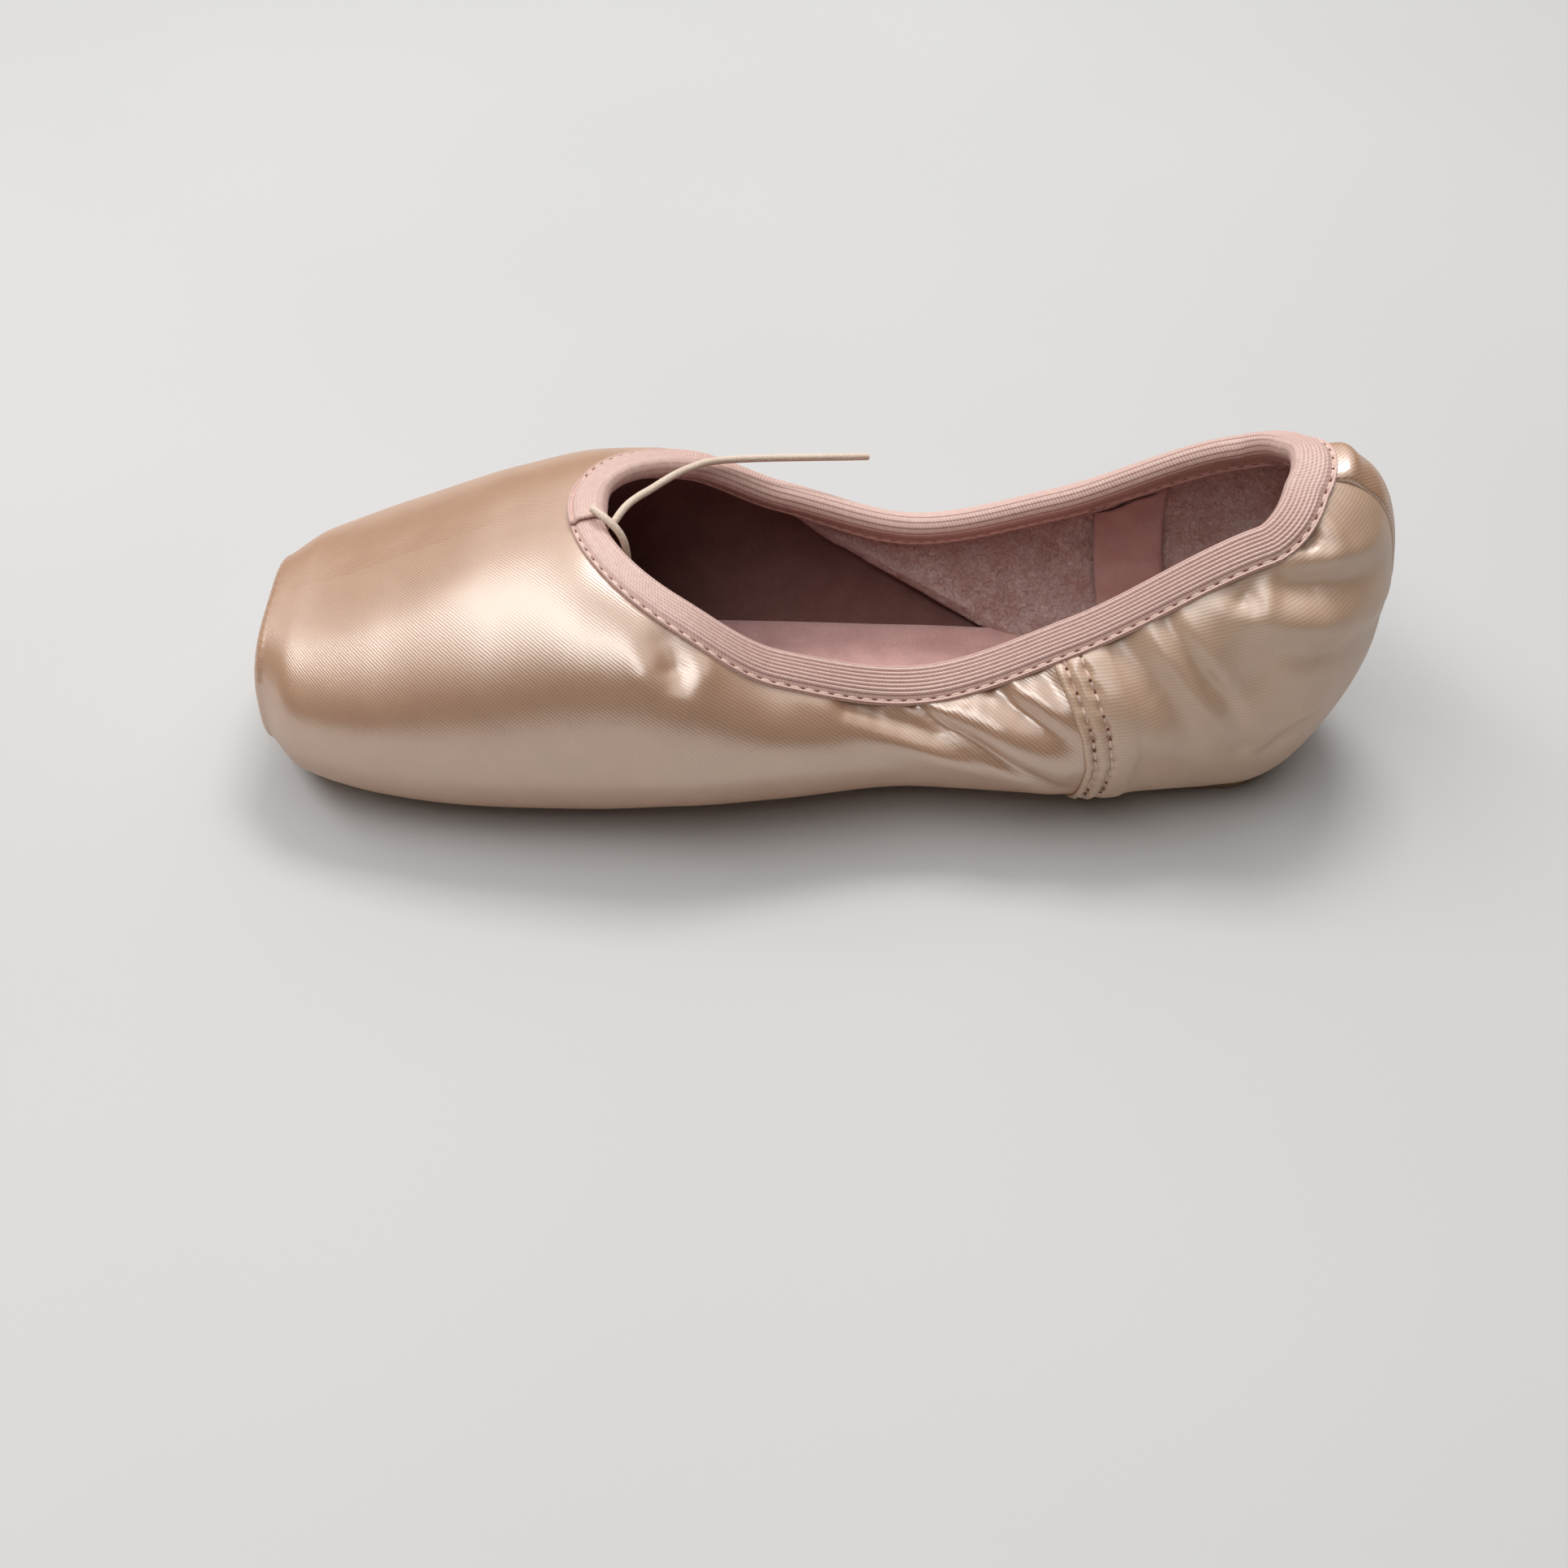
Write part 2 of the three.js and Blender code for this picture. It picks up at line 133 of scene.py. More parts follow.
# Creases, near side: station and height of each point, half width, depth at start, middle and end.
# A trough's depth is positive and a ridge's negative; the last value is 2 for a soft one, less if sharp.
FRONT_FOLDS = (
    ("dimple at the throat", [(-29.6, 48.3), (-28.2, 46.4), (-27.6, 44), (-28.2, 41.4)],
     3.6, (1.0, 1.7, 0.3), 2),
    ("rim before the dimple", [(-35.8, 48.6), (-34.4, 46), (-33, 43.4), (-31.4, 40.8)],
     3.4, (-0.2, -0.5, -0.1), 2),
    ("rim behind the dimple", [(-21, 46.2), (-22.2, 43.6), (-24, 41)], 3.0, (-0.2, -0.5, -0.1), 2),
    ("first gather", [(6, 33.8), (15.3, 30.3), (23.9, 27.8), (30.9, 25.3), (37.5, 22.2)],
     2.7, (1.3, 2.0, 0.2), 2),
    ("roll under it", [(-2, 36.5), (7.7, 31.6), (16.6, 27.6), (26.2, 24), (35.7, 19.7), (47, 13)],
     3.2, (-0.3, -1.2, -0.5), 2),
    ("soft roll", [(4, 31), (9.9, 28), (18.5, 24.2), (27, 19.5)], 3.4, (-0.1, -0.5, -0.1), 2),
    ("second roll", [(15, 31.9), (24.9, 28.4), (32.9, 24.8), (42, 18.6)], 2.0, (-0.6, -0.8, -0.3), 2),
    ("tight gather", [(18.8, 32.4), (24.9, 29.5), (30.9, 27), (37.3, 23.2), (43.7, 19.1), (50, 14.6)],
     1.3, (0.9, 1.5, 0.7), 1.8),
    ("broad puff", [(24, 32.6), (32.9, 30.2), (39.9, 26.7), (48.8, 21.2)], 3.8, (-0.7, -1.4, -0.9), 2),
    ("short gather", [(34.6, 36), (39.2, 33.4), (44, 31.3), (50.5, 27.9)], 2.3, (1.2, 1.7, 0.3), 2),
    ("roll by the seam", [(37.5, 36.6), (42.7, 34.6), (47.8, 32.4), (51.6, 30)],
     2.8, (-0.4, -0.7, -0.3), 2),
    ("tuck at the binding", [(40.2, 37.6), (42.2, 36.2)], 1.6, (0.5, 0.4, 0.1), 2),
    ("tuck at the seam", [(43.4, 39.4), (46.2, 37.4), (48, 35.6)], 2.0, (0.7, 0.7, 0.2), 2),
)
HEEL_FOLDS = (
    ("broad trough", [(57, 46), (62.5, 43), (67.9, 38.7), (73.9, 30.9), (78.7, 24)],
     4.2, (1.2, 2.7, 0.4), 2),
    ("roll before it", [(60, 37), (65, 31), (70, 25), (76, 19)], 4.0, (-0.4, -0.9, -0.3), 2),
    ("roll between", [(65, 48.5), (71.4, 40.9), (78.1, 32.1), (82.5, 25)], 2.8, (-0.5, -1.2, -0.4), 2),
    ("deep trough", [(68.5, 49.4), (73.3, 44.8), (78.1, 39), (83.2, 32.6), (86.7, 23.5)],
     2.8, (1.2, 2.8, 1.0), 2),
    ("edge of the trough", [(71.5, 49.8), (76.8, 43.6), (83.4, 34.4), (88.6, 23)],
     2.3, (-0.6, -1.4, -0.7), 2),
    ("slack side", [(79, 47), (86.5, 40), (92.5, 33)], 6, (0.4, 1.9, 0.4), 2),
    ("roll round the heel", [(80, 53), (89.5, 51.2), (99.7, 48.8), (110, 46.6), (124, 46)],
     4.0, (-0.6, -1.8, -0.6), 2),
    ("under the roll", [(84, 48), (92.4, 45.4), (99.7, 43), (110, 41), (122, 40.5)],
     3.4, (0.3, 1.4, 0.3), 2),
    ("hollow", [(87, 58), (92.7, 57), (99.7, 56.6), (109.9, 55.2), (121, 55)], 3.4, (1.4, 2.6, 0.2), 2),
    ("rim over the hollow", [(90, 61.6), (100.1, 61), (110, 60), (120, 60)], 2.6, (-0.4, -1.1, -0.2), 2),
    ("first dent", [(81, 56), (84.6, 54.2)], 2.8, (1.1, 1.9, 0.9), 2),
    ("rim of the first dent", [(86.6, 59.4), (87.4, 55.2), (86.4, 52)], 2.0, (-0.5, -1.0, -0.4), 2),
    ("second dent", [(99.5, 64.4), (103, 62.6)], 3.0, (1.2, 2.1, 0.8), 2),
    ("rim of the second dent", [(104.5, 66), (107.4, 63.2), (106, 60.6)], 2.3, (-0.5, -1.0, -0.4), 2),
    ("low fold", [(90.5, 20.5), (95.3, 24.4), (100.5, 26.8)], 2.0, (0.6, 1.2, 0.3), 2),
    ("tuck behind the low fold", [(92, 26.5), (97, 29), (103, 31)], 2.8, (-0.3, -0.9, -0.3), 2),
)
FLEECE_FOLDS = (
    ("first fold", [(36, 33), (41, 27), (47, 19)], 2.2, (-0.6, -1.4, -0.6), 2),
    ("second fold", [(44, 36), (48, 28), (53, 19)], 1.6, (0.5, 1.6, 0.6), 2),
    ("third fold", [(49, 38), (54, 29), (58, 20)], 2.2, (-0.4, -1.2, -0.6), 2),
    ("tape's edge", [(57, 43), (60, 33), (63, 22)], 1.6, (0.8, 1.8, 0.8), 2),
    ("fold behind the tape", [(79, 54), (83, 42), (86, 28)], 2.0, (1.0, 2.0, 0.8), 2),
    ("heel hollow", [(92, 44), (98, 40)], 5, (1.2, 2.0, 1.0), 2),
)
# The far side's creases are the near side's, shifted a little and shallower
FAR_SHIFT = (1.5, -0.8)
FAR_DEPTH = 0.85
# A crease is worked out as far as this many half widths from its line
FOLD_REACH = 3.2

# Gathers along the binding's lower edge, and where along the front and the heel they start and end
PUCKER_HEIGHT = 0.18
PUCKER_PITCH = 4.3
PUCKER_DROP = 4
PUCKER_LONG = 4.5
PUCKER_FADE = 8
FRONT_PUCKERS = (4, 60)
HEEL_PUCKERS = (62, 126)
# Slack in each cloth: size and height of its waves, and where in the noise it is read
FRONT_SLACK = (24, 0.18, 3)
HEEL_SLACK = (16, 0.35, 7)
TAPE_SLACK = (7, 1.0, 31)
# The binding holds ridges down over its own width and lets them go over the next few millimetres
HELD_DOWN = 3.5
LET_GO = 4


def monotone_slopes(stations, values):
    """Slopes of a monotone cubic through rows, level at the last so that the halves meet smoothly."""
    steps = np.diff(stations)[:, None]
    rises = np.diff(values, axis=0) / steps
    slopes = np.zeros_like(values)
    slopes[0] = rises[0]
    before = 2 * steps[1:] + steps[:-1]
    after = steps[1:] + 2 * steps[:-1]
    same_way = rises[:-1] * rises[1:] > 0
    with np.errstate(divide="ignore", invalid="ignore"):
        mean = (before + after) / (before / rises[:-1] + after / rises[1:])
    slopes[1:-1] = np.where(same_way, mean, 0)
    return slopes


def section_rows():
    """The section table with the collar's height turned into the virtual crown's over it."""
    rows = SECTIONS.copy()
    side_half, side_z, top_half, collar_z, full = rows[:, [3, 4, 5, 6, 8]].T
    rows[:, 6] = side_z + (collar_z - side_z) / (1 - (top_half / side_half) ** full) ** (1 / full)
    rows[:, 5] = np.where(top_half == 0, top_half[top_half > 0][0], top_half)
    return rows


ROWS = section_rows()
SLOPES = monotone_slopes(ROWS[:, 0], ROWS)


def sections_at(stations):
    """Every column of the section table at any number of stations, by name."""
    stations = np.clip(np.asarray(stations, float), TOE_X, BACK)
    k = np.clip(np.searchsorted(ROWS[:, 0], stations, side="right") - 1, 0, len(ROWS) - 2)
    step = (ROWS[k + 1, 0] - ROWS[k, 0])[..., None]
    t = (stations[..., None] - ROWS[k, 0][..., None]) / step
    start, rise = ROWS[k], ROWS[k + 1] - ROWS[k]
    m0, m1 = SLOPES[k] * step, SLOPES[k + 1] * step
    values = start + t * (m0 + t * (3 * rise - 2 * m0 - m1 + t * (m0 + m1 - 2 * rise)))
    return {name: values[..., i] for i, name in enumerate(COLUMNS)}


def round_end(stations, start, long):
    """A round end in plan: 0 at its start, 1 once it has run its length."""
    g = np.clip((stations - start) / long, 0, 1)
    return np.sqrt(1 - (1 - g) ** 2)


def opening_half(stations, tuck=0):
    """Half width of the collar's opening, or of a larger one a tuck further down the cloth."""
    section = sections_at(stations)
    return (section["top_half"] + 0.75 * tuck) * round_end(stations, THROAT_X - tuck, THROAT_LONG + tuck)


def low_z(section, out):
    """Height of the skin below the side, at a distance out from the middle plane."""
    span = section["side_half"] - section["bottom_half"]
    part = np.clip((out - section["bottom_half"]) / span, 0, 1)
    drop = (1 - part ** section["low_full"]) ** (1 / section["low_full"])
    return section["side_z"] - (section["side_z"] - section["bottom_z"]) * drop


def top_z(section, out):
    """Height of the skin above the side."""
    part = np.clip(out / section["side_half"], 0, 1)
    height = (1 - part ** section["top_full"]) ** (1 / section["top_full"])
    return section["side_z"] + (section["crown_z"] - section["side_z"]) * height


def out_at(section, z):
    """Distance out of the skin at a height, the other way round."""
    above = np.clip((z - section["side_z"]) / (section["crown_z"] - section["side_z"]), 0, 1)
    below = np.clip((section["side_z"] - z) / (section["side_z"] - section["bottom_z"]), 0, 1)
    upper = section["side_half"] * (1 - above ** section["top_full"]) ** (1 / section["top_full"])
    span = section["side_half"] - section["bottom_half"]
    lower = section["bottom_half"] + span * (1 - below ** section["low_full"]) ** (1 / section["low_full"])
    return np.where(z >= section["side_z"], upper, lower)


def placed(stations, out, z, side):
    """Points in space from stations, distances out and heights, on one side of the middle plane."""
    turn = np.clip((stations - HEEL_CENTRE_X) / FAN, 0, 1) * np.pi / 2
    x = np.minimum(stations, HEEL_CENTRE_X) + out * np.sin(turn)
    y = side * out * np.cos(turn)
    return np.stack([x, np.where(stations >= BACK - 1e-6, 0, y), z + 0 * x], -1)


def skin_table(parts, tuck):
    """Out, height and arc of the skin at parts of the way up it, for closely spaced stations."""
    throat = THROAT_X - tuck + (THROAT_LONG + tuck) * (1 - np.cos(np.linspace(0, np.pi / 2, 160)))
    fine = np.unique(np.concatenate([np.linspace(TOE_X, BACK, 900), throat]))
    s = sections_at(fine[:, None])
    opened = (s["bottom_half"] - TURN_UNDER) * round_end(fine[:, None], BOTTOM_OPEN_X, BOTTOM_OPEN_LONG)
    flat_out = opened + (s["bottom_half"] - opened) * np.linspace(0, 1, 12)[None, :-1]
    turn = np.linspace(0, np.pi / 2, 60)[None, :-1]
    low_power, top_power = 2 / s["low_full"], 2 / s["top_full"]
    low_out = s["bottom_half"] + (s["side_half"] - s["bottom_half"]) * np.sin(turn) ** low_power
    low_height = s["side_z"] - (s["side_z"] - s["bottom_z"]) * np.cos(turn) ** low_power
    share = np.clip(opening_half(fine[:, None], tuck) / s["side_half"], 0, 1)
    turn = np.linspace(0, 1, 110)[None, :] * np.arccos(share ** (s["top_full"] / 2))
    top_out = s["side_half"] * np.clip(np.cos(turn), 0, 1) ** top_power
    top_height = s["side_z"] + (s["crown_z"] - s["side_z"]) * np.sin(turn) ** top_power
    out = np.concatenate([flat_out, low_out, top_out], 1)
    z = np.concatenate([s["bottom_z"] + 0 * flat_out, low_height, top_height], 1)
    steps = np.hypot(np.diff(out, axis=1), np.diff(z, axis=1))
    arcs = np.concatenate([np.zeros((len(fine), 1)), np.cumsum(steps, 1)], 1)
    wanted = parts[None, :] * arcs[:, -1:]
    rows = range(len(fine))
    widest = flat_out.shape[1] + low_out.shape[1]
    return (
        fine,
        np.array([np.interp(wanted[i], arcs[i], out[i]) for i in rows]),
        np.array([np.interp(wanted[i], arcs[i], z[i]) for i in rows]),
        wanted - arcs[:, widest:widest + 1],
    )


def on_skin(table, stations, side):
    """Points of the smooth skin and their arcs, for stations in columns, one for each part of the way."""
    fine, *columns = table
    out, z, arcs = (
        np.stack([np.interp(stations[:, j], fine, column[:, j]) for j in range(column.shape[1])], 1)
        for column in columns
    )
    return placed(stations, out, z, side), arcs


def grid_normals(points, side):
    """Outward normals of a grid of points, from its neighbours."""
    along = np.gradient(points, axis=0)
    up = np.gradient(points, axis=1)
    normal = np.cross(along, up) * -side
    return normal / np.maximum(np.linalg.norm(normal, axis=2, keepdims=True), 1e-9)


def on_middle(points):
    """Which points lie on the middle plane, where the two halves meet."""
    return np.abs(points[..., 1]) < 1e-6


def smooth_half(parts, tuck, stations, side):
    """One half of the smooth skin over a grid of stations: points, outward normals and arcs."""
    points, arcs = on_skin(skin_table(parts, tuck), stations, side)
    normals = grid_normals(points, side)
    normals[on_middle(points), 1] = 0
    return points, normals, arcs


def moved_out(points, normals, raised):
    """Points moved along their normals; those on the middle plane stay on it."""
    moved = points + normals * raised[..., None]
    moved[on_middle(points), 1] = 0
    return moved


def both_sides(half, axis):
    """Near and far halves of a grid and its UVs in one; round the back their shared row is kept once."""
    near, near_uvs = half(NEAR)
    far, far_uvs = (np.flip(grid, axis)[1 - axis:] for grid in half(FAR))
    return np.concatenate([near, far], axis), np.concatenate([near_uvs, far_uvs], axis)


def fold_line(points, side):
    """A crease's line on the smooth skin: a Catmull-Rom curve through its stations and heights."""
    points = np.array(points, float)
    ends = np.concatenate([2 * points[:1] - points[1:2], points, 2 * points[-1:] - points[-2:-1]])
    line = []
    for k in range(len(points) - 1):
        a, b, c, d = ends[k:k + 4]
        t = np.linspace(0, 1, 14, endpoint=k == len(points) - 2)[:, None]
        square = 2 * a - 5 * b + 4 * c - d
        cube = 3 * b - a - 3 * c + d
        line.append(0.5 * (2 * b + (c - a) * t + square * t ** 2 + cube * t ** 3))
    stations, heights = np.concatenate(line).T
    return placed(stations, out_at(sections_at(stations), heights), heights, side)


def fold_heights(points, folds, side):
    """How far the creases raise or sink each point of one side, along the skin's normal."""
    flat = points.reshape(-1, 3)
    height = np.zeros(len(flat))
    scale = FAR_DEPTH if side == FAR else 1
    for _, line_points, width, depths, power in folds:
        if side == FAR:
            line_points = [(station + FAR_SHIFT[0], z + FAR_SHIFT[1]) for station, z in line_points]
        line = fold_line(line_points, side)
        reach = FOLD_REACH * width
        close = np.all((flat > line.min(0) - reach) & (flat < line.max(0) + reach), axis=1)
        if not close.any():
            continue
        gaps = np.linalg.norm(flat[close][:, None] - line[None], axis=2)
        depth = np.interp(gaps.argmin(1) / (len(line) - 1), (0, 0.5, 1), depths)
        height[close] -= scale * depth * np.exp(-(gaps.min(1) / width) ** power)
    return height.reshape(points.shape[:2])


def under_binding(raised, arcs):
    """Flattens ridges where the binding holds the cloth down; troughs run on under it."""
    down = arcs[:, -1:] - arcs
    free = np.clip((down - HELD_DOWN) / LET_GO, 0, 1)
    free = free * free * (3 - 2 * free)
    return np.where(raised > 0, raised * free, raised)


def puckers(arcs, stations, start, end):
    """Short gathers that the pulled-in elastic leaves all along its lower edge, unevenly spaced."""
    down = arcs[:, -1:] - arcs
    along = np.clip((stations - start) / PUCKER_FADE, 0, 1) * np.clip((end - stations) / PUCKER_FADE, 0, 1)
    reach = np.exp(-((down - PUCKER_DROP) / PUCKER_LONG) ** 2) * along
    phase = stations * math.tau / PUCKER_PITCH + 1.3 * np.sin(stations / 5.1)
    return -PUCKER_HEIGHT * reach * (0.5 + 0.5 * np.cos(phase))


def slack(points, size, amount, seed):
    """Small uneven waves of slack cloth."""
    flat = points.reshape(-1, 3) / size + seed
    waves = np.array([noise.noise(Vector(p)) for p in flat])
    return amount * waves.reshape(points.shape[:2])


# Meshes


def sheet_mesh(points, uvs):
    """A sheet: a flat grid whose vertices move to the points, in rows and columns, with UVs in metres."""
    rows, columns = points.shape[:2]
    sheet = bmesh.new()
    bmesh.ops.create_grid(sheet, x_segments=columns - 1, y_segments=rows - 1, size=1)
    for vertex, point in zip(sheet.verts, points.reshape(-1, 3) * MM):
        vertex.co = point
    layer = sheet.loops.layers.uv.new("UVMap")
    flat = (uvs.reshape(-1, 2) * MM).tolist()
    for face in sheet.faces:
        for loop in face.loops:
            loop[layer].uv = flat[loop.vert.index]
    return sheet


def drop_faces(sheet, unwanted):
    """Deletes the faces that a test on their middle, in millimetres, picks out."""
    gone = [face for face in sheet.faces if unwanted(face.calc_center_median() / MM)]
    bmesh.ops.delete(sheet, geom=gone, context="FACES")


def over_opening(place, tuck):
    """Whether a place on a sheet that spans the opening lies over it."""
    return abs(place.y) < 0.5 * opening_half(np.array(place.x), tuck) and place.z > 20


def weld(sheet, distance=0.002):
    """Merges vertices that meet, and the faces that this leaves without area."""
    bmesh.ops.remove_doubles(sheet, verts=sheet.verts, dist=distance * MM)
    bmesh.ops.dissolve_degenerate(sheet, edges=sheet.edges, dist=distance * MM / 10)


def face_outwards(sheet, from_point):
    """Turns an open sheet's faces away from a point inside it."""
    bmesh.ops.recalc_face_normals(sheet, faces=sheet.faces)
    inside = Vector(from_point) * MM
    away = sum(face.normal.dot(face.calc_center_median() - inside) * face.calc_area() for face in sheet.faces)
    if away < 0:
        bmesh.ops.reverse_faces(sheet, faces=sheet.faces)


def finished(name, sheet, material, node=None, thick=0):
    """Makes a mesh a piece of the shoe, with a thickness inwards where one is given."""
    mesh = bpy.data.meshes.new(name)
    sheet.to_mesh(mesh)
    sheet.free()
    mesh.shade_smooth()
    mesh.materials.append(material)
    piece = bpy.data.objects.new(name, mesh)
    bpy.context.scene.collection.objects.link(piece)
    if thick:
        wall = piece.modifiers.new("thickness", "SOLIDIFY")
        wall.thickness = thick * MM
        wall.offset = -1
    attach(piece, "root")
    if node:
        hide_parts(node)
    return piece


# Materials


def linear(hex_colour):
    """An sRGB hex colour as linear RGBA."""
    channels = [int(hex_colour[k:k + 2], 16) / 255 for k in (1, 3, 5)]
    return [c / 12.92 if c <= 0.04045 else ((c + 0.055) / 1.055) ** 2.4 for c in channels] + [1]


def add(owner, kind, inputs=(), stops=(), **settings):
    """Adds a shader node to a material or the world: an input takes a value, a node or an output socket."""
    node = owner.node_tree.nodes.new("ShaderNode" + kind)
    for name, value in settings.items():
        setattr(node, name, value)
    for element, (position, colour) in zip(node.color_ramp.elements if stops else (), stops):
        element.position = position
        element.color = linear(colour)
    for name, value in dict(inputs).items():
        if isinstance(value, bpy.types.Node):
            value = value.outputs[0]
        if isinstance(value, bpy.types.NodeSocket):
            owner.node_tree.links.new(value, node.inputs[name])
        else:
            node.inputs[name].default_value = value
    return node


def new_material(name):
    """A material with an empty node tree."""
    material = bpy.data.materials.new(name)
    material.use_nodes = True
    material.node_tree.nodes.clear()
    return material


def wave_scale(pitch):
    """The Wave texture's scale for a pitch in millimetres: it turns 20 radians a unit."""
    return math.tau / (20 * pitch * MM)


def woven_satin():
    """Polyester satin, woven with long floats: glossy along the floats, with fine slanting lines whose dips
    are darkened with painted shade.

    The lines are drawn at 0.62 mm, coarser than the real twill, so that they show.
    """
    cloth = new_material("woven_satin")
    uv = add(cloth, "UVMap", uv_map="UVMap")
    slanted = add(cloth, "Mapping", {0: uv, "Rotation": (0, 0, math.radians(-52))})
    lines = add(cloth, "TexWave", {0: slanted, "Scale": wave_scale(0.62), "Distortion": 1.6, "Detail": 1.0,
                                   "Detail Scale": 1.5}, bands_direction="X")
    mottle = add(cloth, "TexNoise", {0: uv, "Scale": 1 / (7 * MM), "Detail": 4.0})
    colour = add(cloth, "ValToRGB", {0: mottle}, [(0.3, "#C29677"), (0.75, "#CA9F7F")])
    # Darker in the dips between the lines: painted shade.
    dip_shade = add(cloth, "ValToRGB", {0: lines.outputs[1]}, [(0.1, "#CDB9AB"), (0.7, "#FFFFFF")])
    woven = add(cloth, "Mix", {0: 0.5, 6: colour, 7: dip_shade}, data_type="RGBA", blend_type="MULTIPLY")
    bump = add(cloth, "Bump", {"Height": lines.outputs[1], "Strength": 0.12, "Distance": 0.12 * MM})
    floats = add(cloth, "Tangent", direction_type="UV_MAP", uv_map="UVMap")
    shader = add(cloth, "BsdfPrincipled", {
        "Base Color": woven.outputs[2], "Normal": bump, "Tangent": floats, "Roughness": 0.33,
        "Anisotropic": 0.3, "IOR": 2.16, "Specular IOR Level": 1.0, "Specular Tint": linear("#FFFAF5")})
    add(cloth, "OutputMaterial", {0: shader})
    return cloth


def stretch_satin():
    """Stretch satin, knitted with fine level ribs: a soft gloss, with painted shade in the grooves between
    the ribs.

    The ribs are drawn at 0.75 mm, coarser than the real ones, so that they show.
    """
    cloth = new_material("stretch_satin")
    uv = add(cloth, "UVMap", uv_map="UVMap")
    ribs = add(cloth, "TexWave", {0: uv, "Scale": wave_scale(0.75), "Distortion": 0.5, "Detail": 1.0,
                                  "Detail Scale": 2.0}, bands_direction="Y")
    mottle = add(cloth, "TexNoise", {0: uv, "Scale": 1 / (8 * MM), "Detail": 3.0})
    colour = add(cloth, "ValToRGB", {0: mottle}, [(0.3, "#C9A487"), (0.75, "#D2AF92")])
    # Darker in the grooves between the ribs: painted shade.
    groove_shade = add(cloth, "ValToRGB", {0: ribs.outputs[1]}, [(0.0, "#B08D76"), (0.6, "#FFFFFF")])
    ribbed = add(cloth, "Mix", {0: 0.22, 6: colour, 7: groove_shade}, data_type="RGBA", blend_type="MULTIPLY")
    bump = add(cloth, "Bump", {"Height": ribs.outputs[1], "Strength": 0.14, "Distance": 0.12 * MM})
    shader = add(cloth, "BsdfPrincipled", {
        "Base Color": ribbed.outputs[2], "Normal": bump, "Roughness": 0.43, "IOR": 2.0,
        "Specular IOR Level": 0.7})
    add(cloth, "OutputMaterial", {0: shader})
    return cloth


def ribbed_elastic():
    """Woven elastic tape: matt polyester over rubber cords, which stand up as ribs, with painted shade in the
    grooves between them.
    """
    tape = new_material("ribbed_elastic")
    uv = add(tape, "UVMap", uv_map="UVMap")
    slanted = add(tape, "Mapping", {0: uv, "Rotation": (0, 0, math.radians(32))})
    knit = add(tape, "TexWave", {0: slanted, "Scale": wave_scale(0.62), "Distortion": 0.5},
               bands_direction="X")
    fuzz = add(tape, "TexNoise", {0: uv, "Scale": 1 / (1.2 * MM), "Detail": 4.0})
    across = add(tape, "SeparateXYZ", {0: uv})
    phase = add(tape, "Math", {0: across.outputs[1], 1: math.tau / (RIB_PITCH * MM)}, operation="MULTIPLY")
    groove = add(tape, "Math", {0: phase}, operation="COSINE")
    pile = add(tape, "ValToRGB", {0: fuzz}, [(0.25, "#D9B4A9"), (0.8, "#E8CABF")])
    # Darker in the grooves between the ribs: painted shade, as strong as the ribs stand up.
    lines = add(tape, "ValToRGB", {0: groove}, [(0.2, "#FFFFFF"), (0.95, "#B4928B")])
    strength = add(tape, "Attribute", attribute_name="ribs")
    ribbed = add(tape, "Mix", {0: strength.outputs["Fac"], 6: pile, 7: lines},
                 data_type="RGBA", blend_type="MULTIPLY")
    # Darker between the knit's threads: painted shade.
    threads = add(tape, "ValToRGB", {0: knit.outputs[1]}, [(0.1, "#DFD2CD"), (0.7, "#FFFFFF")])
    woven = add(tape, "Mix", {0: 0.4, 6: ribbed.outputs[2], 7: threads},
                data_type="RGBA", blend_type="MULTIPLY")
    bump = add(tape, "Bump", {"Height": knit.outputs[1], "Strength": 0.3, "Distance": 0.15 * MM})
    shader = add(tape, "BsdfPrincipled", {
        "Base Color": woven.outputs[2], "Normal": bump, "Roughness": 0.5, "IOR": 1.6,
        "Sheen Weight": 0.2, "Sheen Tint": linear("#F0DAD4")})
    add(tape, "OutputMaterial", {0: shader})
    return tape


def sewing_thread():
    """Spun polyester thread: a slight shine and a fine twist."""
    thread = new_material("sewing_thread")
    place = add(thread, "TexCoord")
    twist = add(thread, "TexNoise", {0: place.outputs["Object"], "Scale": 1 / (0.4 * MM), "Detail": 2.0})
    colour = add(thread, "ValToRGB", {0: twist}, [(0.3, "#D6B5A6"), (0.7, "#F0DACC")])
    shader = add(thread, "BsdfPrincipled", {"Base Color": colour, "Roughness": 0.45})
    add(thread, "OutputMaterial", {0: shader})
    return thread


def needle_shadow():
    """The dark of a needle hole, where no light comes back from between the threads."""
    hole = new_material("needle_shadow")
    place = add(hole, "TexCoord")
    depth = add(hole, "TexNoise", {0: place.outputs["Object"], "Scale": 1 / (0.5 * MM)})
    colour = add(hole, "ValToRGB", {0: depth}, [(0.3, "#6E4A42"), (0.7, "#83594F")])
    shader = add(hole, "BsdfPrincipled", {
        "Base Color": colour, "Roughness": 1.0, "Specular IOR Level": 0.0})
    add(hole, "OutputMaterial", {0: shader})
    return hole


